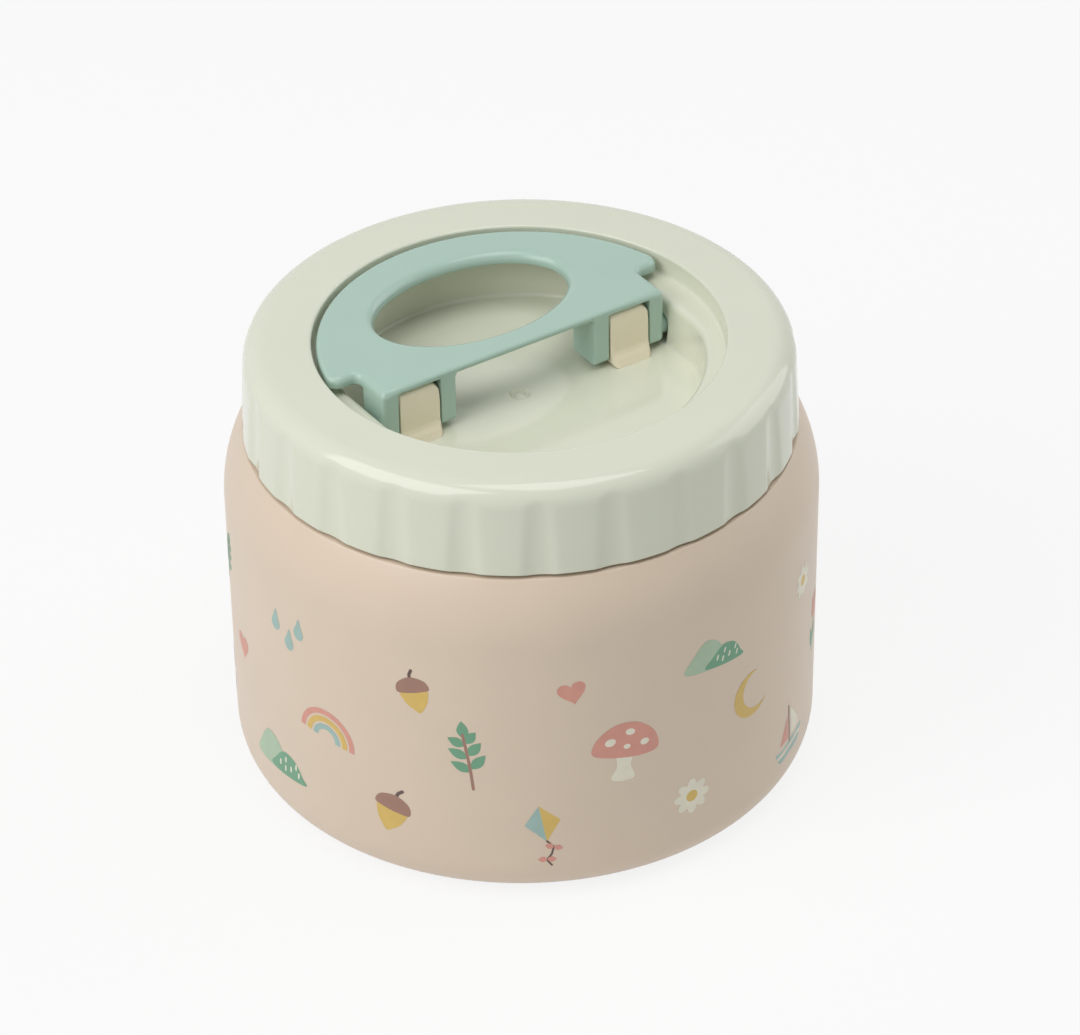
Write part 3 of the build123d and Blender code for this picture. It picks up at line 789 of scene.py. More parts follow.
@dataclass(frozen=True)
class Motifs:
    """Plain paper-cut motifs, drawn about their own middle, in millimetres."""

    def toadstool(self) -> list[Patch]:
        """Spotted cap on a stem."""
        cap = soft((-5.2, 0.2), (-4.5, 3.0), (-1.8, 5.2), (1.5, 5.3), (4.4, 3.2), (5.3, 0.1), (2.6, -0.9),
                   (-2.4, -0.7))
        stem = soft((-1.3, 0.2), (-1.1, -2.4), (-1.8, -4.7), (0.1, -5.2), (1.9, -4.6), (1.1, -2.3),
                    (1.3, 0.2))
        spots = [oval(-2.5, 2.1, 0.85, 0.7, 20), oval(0.5, 3.7, 0.75, 0.6, -10), oval(3.0, 1.5, 0.7, 0.6, 15),
                 oval(0.2, 1.1, 0.55, 0.45)]
        return [(Ink.MILK, stem), (Ink.CORAL, cap), *((Ink.MILK, spot) for spot in spots)]

    def sprig(self) -> list[Patch]:
        """Stalk with pairs of leaves."""
        leaves = [leaf(0.2, 3.6, 3.4, 1.9, -6)]
        for height, size in ((-2.8, 3.7), (-0.2, 3.5), (2.2, 3.0)):
            leaves += [leaf(0.0, height, size, 1.8, 52), leaf(0.1, height + 0.5, size, 1.8, -50)]
        stalk = brush(0.5, (-0.5, -6.2), (-0.2, -3.4), (0.0, -0.6), (0.1, 1.8), (0.2, 4.4))
        return [*((Ink.LEAF, shape) for shape in leaves), (Ink.BARK, stalk)]

    def moon(self) -> list[Patch]:
        """Crescent."""
        outer = np.linspace(radians(52), radians(308), 40)
        inner = np.linspace(radians(292), radians(68), 32)
        rim = np.stack([4.3 * np.cos(outer), 4.3 * np.sin(outer)], axis=1)
        hollow = np.stack([2.0 + 3.5 * np.cos(inner) - 0.66, 3.66 * np.sin(inner)], axis=1)
        return [(Ink.MUSTARD, np.concatenate([rim, hollow]))]

    def drops(self) -> list[Patch]:
        """Three raindrops."""
        drop = soft((0.0, 2.3), (0.62, 0.8), (1.15, -0.6), (0.75, -1.7), (0.0, -2.0), (-0.75, -1.7),
                    (-1.15, -0.6), (-0.62, 0.8))
        return [(Ink.SKY, spun(drop, -12) * 0.95 + spot) for spot in ((-2.9, 0.9), (0.2, -1.7), (3.1, 1.1))]

    def hills(self) -> list[Patch]:
        """Two round hills with short strokes of grass."""
        far = soft((-6.3, -2.6), (-5.2, 0.6), (-2.6, 3.4), (0.2, 2.6), (2.2, -0.4), (2.9, -2.6))
        near = soft((-1.9, -2.7), (-0.7, -0.6), (1.7, 1.4), (4.4, 0.9), (6.0, -1.2), (6.4, -2.7))
        grass = [brush(0.34, (x, y), (x + 0.15, y + 0.8)) for x, y in
                 ((0.4, -1.4), (2.0, -0.3), (3.2, -1.5), (4.6, -0.5), (1.7, -2.0), (5.1, -1.8))]
        return [(Ink.SAGE, far), (Ink.LEAF, near), *((Ink.MILK, stroke) for stroke in grass)]

    def boat(self) -> list[Patch]:
        """Sailing boat."""
        hull = np.array([(-5.2, -2.0), (-4.1, -4.4), (-3.3, -4.8), (3.1, -4.8), (4.0, -4.3), (5.4, -2.0)])
        mast = brush(0.5, (0.0, -2.2), (0.0, 2.0), (0.05, 5.4))
        main_sail = np.array([(0.6, 4.9), (2.4, 2.4), (3.5, 0.6), (4.2, -1.2), (0.6, -1.3)])
        fore_sail = np.array([(-0.6, 3.6), (-0.6, -1.3), (-3.5, -1.2), (-2.2, 1.0)])
        stripe = np.array([(-4.75, -2.9), (-4.45, -3.6), (4.35, -3.6), (4.85, -2.9)])
        return [(Ink.SKY, hull), (Ink.MILK, stripe), (Ink.BARK, mast), (Ink.MILK, main_sail),
                (Ink.CORAL, fore_sail)]

    def tulip(self) -> list[Patch]:
        """Tulip with two leaves."""
        head = soft((-2.3, 5.2), (-1.2, 3.9), (0.0, 5.6), (1.2, 3.9), (2.4, 5.1), (2.3, 2.0), (0.1, 0.5),
                    (-2.2, 2.1))
        stem = brush(0.55, (0.1, 0.9), (0.0, -1.6), (-0.2, -5.4))
        left, right = leaf(-0.2, -4.9, 4.8, 1.8, 27), leaf(0.0, -4.6, 4.4, 1.7, -30)
        return [(Ink.LEAF, stem), (Ink.LEAF, left), (Ink.SAGE, right), (Ink.CORAL, head)]

    def acorn(self) -> list[Patch]:
        """Acorn in its cup."""
        nut = soft((-2.4, 0.6), (-2.2, -1.9), (-0.9, -3.7), (0.0, -4.4), (0.9, -3.7), (2.2, -1.9), (2.4, 0.6))
        cup = soft((-3.1, 0.3), (-2.7, 2.0), (-0.8, 3.0), (0.9, 3.0), (2.7, 2.0), (3.1, 0.3), (1.2, -0.1),
                   (-1.2, -0.1))
        stalk = brush(0.6, (0.1, 2.7), (0.3, 3.7), (0.9, 4.5))
        return [(Ink.MUSTARD, nut), (Ink.COCOA, stalk), (Ink.BARK, cup)]

    def kite(self) -> list[Patch]:
        """Kite with two bows on its tail."""
        left = np.array([(0.0, 5.6), (-2.9, 2.2), (0.0, -1.6)])
        right = np.array([(0.0, 5.6), (0.0, -1.6), (2.9, 2.2)])
        tail = brush(0.34, (0.0, -1.5), (0.9, -2.8), (0.3, -4.2), (-0.7, -5.2), (-0.1, -6.4))
        bows = [leaf(x, y, 1.5, 1.1, turn) for x, y, turn in
                ((0.9, -2.9, 65), (0.9, -2.9, -115), (-0.6, -5.1, 80), (-0.6, -5.1, -100))]
        return [(Ink.SKY, left), (Ink.MUSTARD, right), (Ink.COCOA, tail), *((Ink.CORAL, bow) for bow in bows)]

    def heart(self) -> list[Patch]:
        """Heart."""
        t = np.linspace(0, tau, 48, endpoint=False)
        x = 2.7 * np.sin(t) ** 3
        y = 2.3 * np.cos(t) - 0.9 * np.cos(2 * t) - 0.35 * np.cos(3 * t) - 0.1 * np.cos(4 * t)
        return [(Ink.CORAL, np.stack([x, y], axis=1))]

    def daisy(self) -> list[Patch]:
        """Daisy."""
        petals = [spun(oval(0.0, 2.15, 0.92, 1.45), k * 360 / 8) for k in range(8)]
        return [*((Ink.MILK, petal) for petal in petals), (Ink.MUSTARD, oval(0.0, 0.0, 1.15, 1.15))]

    def rainbow(self) -> list[Patch]:
        """Three bands of a rainbow."""
        bands = []
        for ink, outer in ((Ink.CORAL, 5.4), (Ink.MUSTARD, 4.05), (Ink.SKY, 2.7)):
            a = np.linspace(0, pi, 34)
            over = np.stack([outer * np.cos(a), outer * np.sin(a)], axis=1)
            under = np.stack([(outer - 0.95) * np.cos(a), (outer - 0.95) * np.sin(a)], axis=1)[::-1]
            bands.append((ink, np.concatenate([over, under]) - (0.0, 2.6)))
        return bands


@dataclass
class Print:
    """Pattern screen-printed round the jar's straight wall, repeated a few times."""

    repeats: int = 2
    wall_r: float = 51.65
    wall_z: float = 7.7
    wall_top_r: float = 52.0
    wall_top_z: float = 52.6
    film: float = 0.03
    scale: float = 1.15
    grid: float = 0.9
    grid_shift: float = 0.37
    grid_clear: float = 0.27
    merge: float = 1e-5

    def rows(self) -> tuple[Row, ...]:
        """Each row's height and start, in steps, and each motif in it with its turn, size and lift."""
        m = Motifs()
        return (
            (14.6, 0.0, ((m.hills, 4, 1.0, 0.0), (m.acorn, -14, 0.95, 1.2), (m.kite, 10, 0.95, -0.4),
                         (m.daisy, 0, 0.9, 0.8), (m.boat, 5, 0.9, -0.6), (m.tulip, 8, 0.9, 0.4))),
            (29.4, 0.52, ((m.rainbow, -6, 1.0, -0.8), (m.sprig, 12, 0.95, 0.9), (m.toadstool, -5, 1.0, 0.0),
                          (m.moon, 20, 0.95, 1.0), (m.tulip, -12, 0.9, -1.0), (m.heart, 6, 0.85, 0.6))),
            (43.6, 0.18, ((m.drops, 8, 0.95, 0.6), (m.acorn, 16, 0.85, -1.2), (m.heart, 12, 0.8, 0.4),
                          (m.hills, -5, 0.85, 0.0), (m.daisy, 10, 0.8, -0.4), (m.sprig, -16, 0.85, -0.8))))

    def layout(self) -> list[Patch]:
        """One repeat of the pattern, laid flat: along the wall, and up it."""
        width = tau * self.wall_top_r / self.repeats
        made = []
        for height, start, motifs in self.rows():
            for column, (motif, turn, size, lift) in enumerate(motifs):
                middle = ((column + start) * width / len(motifs), height + lift)
                made += [(ink, spun(points * (self.scale * size), turn) + middle) for ink, points in motif()]
        return made

    def fill(self, spots: np.ndarray) -> np.ndarray:
        """Even points between the outlines' own, so that the film can bend round the wall."""
        across, up = (np.arange(low, high, self.grid) for low, high in zip(spots.min(0), spots.max(0)))
        even = np.stack(np.meshgrid(across, up), axis=-1).reshape(-1, 2) + self.grid_shift
        away = np.array([np.min(np.hypot(*(spots - spot).T)) for spot in even])
        return even[away > self.grid_clear]

    def triangles(self, patches: list[Patch]) -> dict[Ink, tuple[np.ndarray, np.ndarray]]:
        """Cuts overlapping patches into triangles that each show one ink.

        Args:
            patches: inks and outlines, the last on top.

        Returns:
            Points and triangles of each ink.
        """
        points, edges = [], []
        for _, outline in patches:
            first, count = len(points), len(outline)
            points.extend(outline)
            edges.extend((first + i, first + (i + 1) % count) for i in range(count))
        points.extend(self.fill(np.array(points)))
        made = delaunay_2d_cdt([Vector(p) for p in points], edges, [], 0, self.merge)
        flat = np.array([tuple(v) for v in made[0]])
        corners = np.array([face for face in made[2] if len(face) == 3])
        middles = flat[corners].mean(axis=1)
        shown = np.full(len(corners), -1)
        inks = list(Ink)
        for ink, outline in patches:
            shown[covers(outline, middles)] = inks.index(ink)
        split = {}
        for k, ink in enumerate(inks):
            own = corners[shown == k]
            if len(own):
                used, renumbered = np.unique(own, return_inverse=True)
                split[ink] = (flat[used], renumbered.reshape(-1, 3))
        return split

    def wrap_tree(self) -> bpy.types.NodeTree:
        """Tree that repeats a flat print along the wall and wraps it round the jar."""
        wiring, inputs, out = geometry_tree(
            "wrap_print", ("Repeats",), ("Radius", "Wall Radius", "Wall Height", "Draft"), "Ink")
        width = wiring.math("DIVIDE", wiring.math("MULTIPLY", inputs["Radius"], tau), inputs["Repeats"])
        line = wiring.add("GeometryNodeMeshLine", {"Count": inputs["Repeats"],
                                                   "Offset": wiring.vector(width)})
        placed = wiring.add("GeometryNodeInstanceOnPoints", {"Points": line.outputs[0],
                                                             "Instance": inputs["Geometry"]})
        real = wiring.add("GeometryNodeRealizeInstances", {0: placed.outputs[0]})
        along, height, _ = wiring.parts(wiring.add("GeometryNodeInputPosition").outputs[0])
        angle = wiring.math("DIVIDE", along, inputs["Radius"])
        climb = wiring.math("SUBTRACT", height, inputs["Wall Height"])
        radius = wiring.math("MULTIPLY_ADD", climb, inputs["Draft"], inputs["Wall Radius"])
        wrapped = wiring.vector(wiring.math("MULTIPLY", radius, wiring.math("COSINE", angle)),
                                wiring.math("MULTIPLY", radius, wiring.math("SINE", angle)), height)
        moved = wiring.add("GeometryNodeSetPosition", {"Geometry": real.outputs[0], "Position": wrapped})
        wiring.close(out, moved.outputs[0], inputs["Ink"])
        return wiring.tree

    def build(self) -> None:
        """Makes one thin film for each ink."""
        tree = self.wrap_tree()
        draft = (self.wall_top_r - self.wall_r) / (self.wall_top_z - self.wall_z)
        for ink, (flat, corners) in self.triangles(self.layout()).items():
            finish = ink.finish()
            laid = np.c_[flat, np.zeros(len(flat))]
            film = place_piece(f"print_{ink.name.lower()}", laid, corners.tolist())
            run_tree(film, tree, {
                "Repeats": self.repeats, "Radius": self.wall_top_r * MM, "Draft": draft,
                "Wall Radius": (self.wall_r + self.film) * MM, "Wall Height": self.wall_z * MM,
                "Ink": finish.material()})
            film.data.shade_smooth()
            spots = np.array([tuple(v.co) for v in film.data.vertices])
            away = spots[:, :2] / np.hypot(spots[:, 0], spots[:, 1])[:, None]
            normals = np.c_[away, np.full(len(spots), -draft)]
            film.data.normals_split_custom_set_from_vertices(normals.tolist())
            dress(film, finish, Body.JAR)


# ---- Threads --------------------------------------------------------------------
@dataclass
class Thread:
    """Rolled or moulded screw thread of two starts, whose ends run out."""

    name: str
    radius: float
    low_z: float
    crest: float = 0.9
    rise: float = 4.4
    width: float = 1.9
    crest_share: float = 0.4
    edge: float = 0.22
    turns: float = 0.82
    starts: int = 2
    steps: int = 160
    run_out: float = 0.06
    tip: float = 0.02

    def ridge(self, wiring: Wiring, inputs: Sequence[bpy.types.NodeSocket]) -> bpy.types.NodeSocket:
        """The ridge's rounded section, turned to stand across the helix.

        Args:
            wiring: the tree.
            inputs: its inputs.

        Returns:
            The section.
        """
        top = wiring.math("MULTIPLY", inputs["Ridge Width"], self.crest_share)
        sharp = wiring.add("GeometryNodeCurvePrimitiveQuadrilateral", {
            "Bottom Width": inputs["Ridge Width"], "Top Width": top, "Offset": 0.0,
            "Height": inputs["Ridge Depth"]}, mode="TRAPEZOID")
        bevel = wiring.add("GeometryNodeFilletCurve", {"Curve": sharp.outputs[0], "Count": 3,
                                                       "Radius": self.edge * MM}, mode="POLY")
        lain = wiring.add("GeometryNodeTransform", {"Geometry": bevel.outputs[0],
                                                    "Rotation": (0.0, 0.0, pi / 2)})
        return lain.outputs[0]

    def tree(self) -> bpy.types.NodeTree:
        """Tree that sweeps a ridge along a helix and repeats it round the axis."""
        wiring, inputs, out = geometry_tree(
            f"{self.name}_sweep", ("Starts",),
            ("Radius", "Turns", "Rise", "Start Height", "Ridge Width", "Ridge Depth"), "Plastic")
        helix = wiring.add("GeometryNodeCurveSpiral", {
            "Resolution": self.steps, "Rotations": inputs["Turns"], "Start Radius": inputs["Radius"],
            "End Radius": inputs["Radius"], "Height": inputs["Rise"]})
        upright = wiring.add("GeometryNodeSetCurveNormal", {0: helix.outputs[0]}, mode="Z_UP")
        along = wiring.add("GeometryNodeSplineParameter").outputs[0]
        ends = wiring.math("MINIMUM", along, wiring.math("SUBTRACT", 1.0, along))
        thinned = wiring.add("ShaderNodeMapRange", {
            "Value": ends, "From Min": 0.0, "From Max": self.run_out, "To Min": self.tip,
            "To Max": 1.0}, interpolation_type="SMOOTHSTEP")
        eased = wiring.add("GeometryNodeSetCurveRadius", {"Curve": upright.outputs[0],
                                                          "Radius": thinned.outputs["Result"]})
        swept = wiring.add("GeometryNodeCurveToMesh", {
            "Curve": eased.outputs[0], "Profile Curve": self.ridge(wiring, inputs), "Fill Caps": True})
        raised = wiring.add("GeometryNodeTransform", {"Geometry": swept.outputs[0],
                                                      "Translation": wiring.vector(z=inputs["Start Height"])})
        points = wiring.add("GeometryNodePoints", {"Count": inputs["Starts"]})
        index = wiring.add("GeometryNodeInputIndex").outputs[0]
        turn = wiring.math("DIVIDE", wiring.math("MULTIPLY", index, tau), inputs["Starts"])
        copies = wiring.add("GeometryNodeInstanceOnPoints", {
            "Points": points.outputs[0], "Instance": raised.outputs[0], "Rotation": wiring.vector(z=turn)})
        wiring.close(out, copies.outputs[0], inputs["Plastic"])
        return wiring.tree

    def build(self, finish: Finish, body: Body) -> None:
        """Makes the thread.

        Args:
            finish: its finish.
            body: the body that carries it.
        """
        piece = place_piece(self.name, np.zeros((1, 3)), [])
        run_tree(piece, self.tree(), {
            "Radius": self.radius * MM, "Turns": self.turns, "Rise": self.rise * MM,
            "Start Height": self.low_z * MM, "Ridge Width": self.width * MM, "Ridge Depth": self.crest * MM,
            "Starts": self.starts, "Plastic": finish.material()})
        shade(piece, 50)
        dress(piece, finish, body)


# ---- Jar ------------------------------------------------------------------------
@dataclass
class Jar:
    """Double-walled steel jar: coated shell, food cup, base and the print round it."""

    wall_r: float = 52.0
    base_r: float = 51.65
    base_run: float = 6.2
    base_rise: float = 7.7
    wall_top_z: float = 52.6
    shoulder_run: float = 21.4
    shoulder_rise: float = 22.4
    land_rise: float = 12.6
    neck_r: float = 43.3
    neck_top_z: float = 72.83
    shell_t: float = 0.7
    foot_in_r: float = 42.85
    land_edge: float = 0.35
    neck_fillet: float = 1.2
    cup_r: float = 47.0
    cup_z: float = 6.95
    cup_t: float = 0.6
    cup_corner: float = 9.0
    cup_shoulder_z: float = 56.1
    cup_throat_z: float = 62.6
    cup_bend: float = 4.0
    mouth_r: float = 40.0
    lip_z: float = 73.53
    lip_edge: float = 0.3
    plate_z: float = 1.65
    plate_t: float = 0.7
    plate_bend: float = 0.8
    plate_flange: float = 1.9
    weld_gap: float = 0.05
    hole_r: float = 1.5
    dome_r: float = 5.5
    dome_run: float = 2.0
    dome_rise: float = 1.6
    bead_r: float = 2.4
    bead_t: float = 0.62
    cover_gap: float = 0.95
    cover_z: float = 0.7
    cover_t: float = 0.9

    def shell_outline(self, inset: float) -> list[Corner]:
        """Outside of the shell from the foot up to the neck, drawn in evenly.

        Args:
            inset: how far it is drawn in.

        Returns:
            The corners.
        """
        centre_r = self.base_r - self.base_run
        made: list[Corner] = []
        for a in np.linspace(-pi / 2, 0, 15):
            made.append((centre_r + (self.base_run - inset) * cos(a),
                         self.base_rise + (self.base_rise - inset) * sin(a)))
        top = asin((self.land_rise - inset) / (self.shoulder_rise - inset))
        for a in np.linspace(0, top, 25):
            made.append((self.wall_r - self.shoulder_run + (self.shoulder_run - inset) * cos(a),
                         self.wall_top_z + (self.shoulder_rise - inset) * sin(a)))
        land_z = self.wall_top_z + self.land_rise
        made[-1] = (*made[-1], self.land_edge)
        neck_r = self.neck_r - inset
        return made + [(neck_r, land_z - inset, self.neck_fillet), (neck_r, self.neck_top_z)]

    def build(self) -> None:
        """Makes every piece of the jar."""
        outside, inside = self.shell_outline(0.0), self.shell_outline(self.shell_t)
        shell = turned("outer_shell_coated", rounded([(self.foot_in_r, 0.0), *outside, *inside[::-1],
                                                      (self.foot_in_r, self.shell_t)]), 320)
        dress(shell, COAT, Body.JAR, "outer_shell")
        Thread("neck_thread", radius=43.52, low_z=67.2).build(STEEL, Body.JAR)
        self.build_cup()
        self.build_base()
        Print().build()

    def build_cup(self) -> None:
        """Makes the food cup, whose lip closes the gap to the shell."""
        low, throat, t = self.cup_z, self.mouth_r + self.cup_t, self.cup_t
        cup = turned("food_cup", rounded([
            (0, low), (self.cup_r, low, self.cup_corner), (self.cup_r, self.cup_shoulder_z, self.cup_bend),
            (throat, self.cup_throat_z, self.cup_bend), (throat, self.neck_top_z),
            (self.neck_r, self.neck_top_z), (self.neck_r, self.lip_z, self.lip_edge),
            (self.mouth_r, self.lip_z, self.lip_edge), (self.mouth_r, self.cup_throat_z, self.cup_bend),
            (self.cup_r - t, self.cup_shoulder_z, self.cup_bend),
            (self.cup_r - t, low + t, self.cup_corner - t), (0, low + t)], 8.0), 256)
        dress(cup, STEEL, Body.JAR, "inner_cup")

    def build_base(self) -> None:
        """Makes the base plate, the plug in its hole, and the cover."""
        t, low, edge, bend = self.plate_t, self.plate_z, self.foot_in_r - self.weld_gap, self.plate_bend
        top, rise, slant, foot_r = low + t, self.dome_rise, t / 2, self.dome_r + self.dome_run
        base = turned("base_plate_pressed", rounded([
            (self.hole_r, low + rise), (self.dome_r, low + rise, bend), (foot_r, low, bend),
            (edge - t, low, slant), (edge - t, top - self.plate_flange), (edge, top - self.plate_flange),
            (edge, top, t), (foot_r + slant, top, bend), (self.dome_r + slant, top + rise, bend),
            (self.hole_r, top + rise)]), 192)
        dress(base, STEEL, Body.JAR, "base_plate")
        under, half_r, stem_r = low + rise - 0.05, self.bead_r / 2, self.hole_r - 0.02
        plug = turned("vacuum_plug_bead", rounded([
            (0, under - self.bead_t), (half_r, under - 0.6, 1.0), (self.bead_r, under - 0.35, 0.25),
            (self.bead_r, under), (stem_r, under), (stem_r, under + t), (0, under + t)]), 64)
        dress(plug, SOLDER, Body.JAR, "vacuum_plug")
        cover_r, bevel = self.foot_in_r - self.cover_gap, 0.3
        cover_low, cover_top = self.cover_z, self.cover_z + self.cover_t
        cover = turned("base_cover_disc", rounded([
            (0, cover_low), (cover_r - bevel, cover_low, 0.2), (cover_r, cover_low + bevel, 0.2),
            (cover_r, cover_top), (0, cover_top)]), 192)
        dress(cover, BASE_RUBBER, Body.JAR, "base_cover")


# ---- Hinge line -----------------------------------------------------------------
@dataclass(frozen=True)
class HingeLine:
    """Axis of the handle, and the other sizes that the recess, the posts and the handle share."""

    y: float = 0.6
    z: float = 73.48
    floor_z: float = 70.48
    post_x: float = 21.7

    def away(self, y: np.ndarray, z: np.ndarray) -> np.ndarray:
        """Distance from the axis."""
        return np.hypot(y - self.y, z - self.z)


HINGE = HingeLine()


# ---- Lid ------------------------------------------------------------------------
@dataclass
class Lid:
    """Moulded screw lid with its liner, foam and seal."""

    top_z: float = 82.48
    skirt_z: float = 65.78
    skirt_r: float = 48.35
    skirt_top_r: float = 47.48
    skirt_in_r: float = 45.3
    top_round: float = 4.0
    recess_r: float = 35.75
    ledge_z: float = 78.63
    ledge_round: float = 1.2
    wall_r: float = 32.1
    wall_draft: float = 0.5
    floor_z: float = HINGE.floor_z
    floor_t: float = 2.0
    floor_rings: tuple[float, ...] = (6.0, 14.0, 20.0)
    mark: tuple[Corner, ...] = (
        (0, 0.05), (0.25, 0.03), (0.5, -0.03), (0.72, -0.12), (0.9, -0.24), (1.02, -0.36), (1.12, -0.5),
        (1.4, -0.5, 0.1), (1.9, 0.0, 0.2))
    flat_x: float = 29.65
    flat_draft: float = 1.0
    flat_blend: float = 1.3
    bowl_r: float = 34.3
    top_t: float = 2.2
    step_r: float = 37.95
    step_z: float = 76.43
    rib_r: float = 41.2
    rib_t: float = 1.2
    pocket_half_w: float = 2.1
    pocket_edge: float = 0.4
    pocket_depth: float = 2.5
    pocket_start: float = 1.3
    pocket_lift: float = 0.03
    window_half_w: float = 3.0
    window_half_d: float = 2.2
    grooves: int = 24
    groove_r: float = 9.0
    groove_depth: float = 0.65
    groove_top_depth: float = 0.35
    groove_soft: float = 0.28
    groove_in_r: float = 46.2
    liner_z: float = 63.98
    liner_r: float = 36.0
    liner_t: float = 1.5
    flange_r: float = 42.4
    flange_z: float = 75.03
    flange_t: float = 1.2
    seal_z: float = 74.88
    seal_steps: tuple[float, ...] = (1.2, 1.7, 2.2, 2.7, 3.6)
    sleeve_r: float = 36.15
    sleeve_t: float = 1.0
    fin_r: float = 39.85

    def section(self) -> Outline:
        """Section of the lid's shell, from the middle of the recess floor round to its underside."""
        floor, top, ledge, under = self.floor_z, self.top_z, self.ledge_z, self.top_z - self.top_t
        rib_in_r = self.rib_r - self.rib_t
        corners: list[Corner] = [
            *((radius, floor + rise, *edge) for radius, rise, *edge in self.mark),
            *((radius, floor) for radius in self.floor_rings),
            (self.wall_r - self.wall_draft, floor, 0.8), (self.wall_r, ledge, self.ledge_round),
            (self.recess_r, ledge, 0.7), (self.recess_r, top, 0.45),
            (self.skirt_top_r, top, self.top_round), (self.skirt_r, self.skirt_z, 0.4),
            (self.skirt_in_r, self.skirt_z, 0.3), (self.skirt_in_r, under, 1.5),
            (self.rib_r, under), (self.rib_r, self.step_z, 0.2), (rib_in_r, self.step_z, 0.2),
            (rib_in_r, under), (self.step_r, under), (self.step_r, self.step_z),
            (self.bowl_r, self.step_z), (self.bowl_r, floor - self.floor_t, 0.8), (0, floor - self.floor_t)]
        return divided(rounded(corners), 1.6, self.skirt_in_r + 1.5)

    def bend(self, radius: np.ndarray, height: np.ndarray, angle: np.ndarray) -> np.ndarray:
        """Draws the recess wall in to the two flats beside the hinge."""
        climb = ramp(height, self.floor_z, self.ledge_z)
        wall = self.wall_r - self.wall_draft * (1 - climb)
        flat = (self.flat_x + self.flat_draft * climb) / np.maximum(np.abs(np.cos(angle)), 1e-3)
        drawn = soft_min(wall, flat, self.flat_blend) - wall
        above = (height > self.floor_z - 0.1) & (height < self.ledge_z + 0.5)
        inner = above & (radius < self.wall_r + self.ledge_round + 0.2)
        share = ramp(radius, self.floor_rings[-1], self.wall_r - self.wall_draft - 1.0)
        return radius + np.where(inner, drawn * share, 0.0)

    def groove_tree(self) -> bpy.types.NodeTree:
        """Tree that presses evenly spaced grip grooves into the skirt."""
        wiring, inputs, out = geometry_tree(
            "grip_grooves", ("Grooves",),
            ("Groove Radius", "Low Centre", "Lean", "Low Height", "Edge Softness", "Inner Limit"), "Plastic")
        x, y, z = wiring.parts(wiring.add("GeometryNodeInputPosition").outputs[0])
        square = wiring.math("ADD", wiring.math("MULTIPLY", x, x), wiring.math("MULTIPLY", y, y))
        radius = wiring.math("SQRT", square)
        half = wiring.math("DIVIDE", pi, inputs["Grooves"])
        away = wiring.math("WRAP", wiring.math("ARCTAN2", y, x), half, wiring.math("MULTIPLY", half, -1.0))
        climb = wiring.math("SUBTRACT", z, inputs["Low Height"])
        centre = wiring.math("MULTIPLY_ADD", climb, inputs["Lean"], inputs["Low Centre"])
        side = wiring.math("MULTIPLY", centre, wiring.math("SINE", away))
        left = wiring.math("SUBTRACT", wiring.math("POWER", inputs["Groove Radius"], 2.0),
                           wiring.math("MULTIPLY", side, side))
        pressed = wiring.math("SUBTRACT", wiring.math("MULTIPLY", centre, wiring.math("COSINE", away)),
                              wiring.math("SQRT", wiring.math("MAXIMUM", left, 0.0)))
        new = wiring.math("SMOOTH_MIN", radius, pressed, inputs["Edge Softness"])
        share = wiring.math("DIVIDE", new, radius)
        moved = wiring.vector(wiring.math("MULTIPLY", x, share), wiring.math("MULTIPLY", y, share), z)
        outer = wiring.math("GREATER_THAN", radius, inputs["Inner Limit"])
        placed = wiring.add("GeometryNodeSetPosition", {"Geometry": inputs["Geometry"], "Selection": outer,
                                                        "Position": moved})
        wiring.close(out, placed.outputs[0], inputs["Plastic"])
        return wiring.tree

    def openings(self) -> list[bpy.types.Object]:
        """Cutters for the trunnion pockets in the wall and the tongue windows in the floor."""
        edge, lean = self.pocket_edge, self.flat_draft / (self.ledge_z - self.floor_z)
        mouth = [(edge * (1 - cos(a)), edge * (1 - sin(a))) for a in np.linspace(0, pi / 2, 6)]
        steps = [(-self.pocket_start, edge), *mouth, (self.pocket_depth, 0.0)]
        low, floor = self.floor_z + self.pocket_lift, self.floor_z
        wide, deep = self.window_half_w, self.window_half_d
        corners = ((-wide, -deep), (wide, -deep), (wide, deep), (-wide, deep))
        cutters = []
        for side in (-1, 1):
            rings = []
            for depth, wider in steps:
                half_w, leaning = self.pocket_half_w + wider, 0.0 if depth == self.pocket_depth else lean
                arch = [(half_w * cos(a), HINGE.z + half_w * sin(a)) for a in np.linspace(0, pi, 33)]
                rings.append([(side * (self.flat_x + depth + leaning * (z - floor)), HINGE.y + side * y, z)
                              for y, z in [(half_w, low), *arch, (-half_w, low)]])
            cutters.append(loft(rings))
            cutters.append(loft([[(side * HINGE.post_x + x, HINGE.y + y, z) for x, y in corners]
                                 for z in (floor - 3, floor + 1)]))
        return cutters

    def build(self) -> None:
        """Makes the lid's shell, thread, liner and seal."""
        shell = turned("lid_shell_moulded", self.section(), 24 * self.grooves, self.bend)
        round_z = self.top_z - self.top_round
        taper = (self.skirt_r - self.skirt_top_r) * (round_z - self.skirt_z) / (self.top_z - self.skirt_z)
        run_tree(shell, self.groove_tree(), {
            "Grooves": self.grooves, "Groove Radius": self.groove_r * MM,
            "Low Centre": (self.skirt_r - self.groove_depth + self.groove_r) * MM,
            "Lean": (self.groove_depth - self.groove_top_depth - taper) / (round_z - self.skirt_z),
            "Low Height": self.skirt_z * MM, "Edge Softness": self.groove_soft * MM,
            "Inner Limit": self.groove_in_r * MM, "Plastic": LID_PLASTIC.material()})
        cut(shell, self.openings())
        shade(shell, 40)
        dress(shell, LID_PLASTIC, Body.LID, "lid_shell")
        Thread("lid_thread", radius=45.05, low_z=67.6).build(LID_PLASTIC, Body.LID)
        self.build_liner()
        self.build_seal()

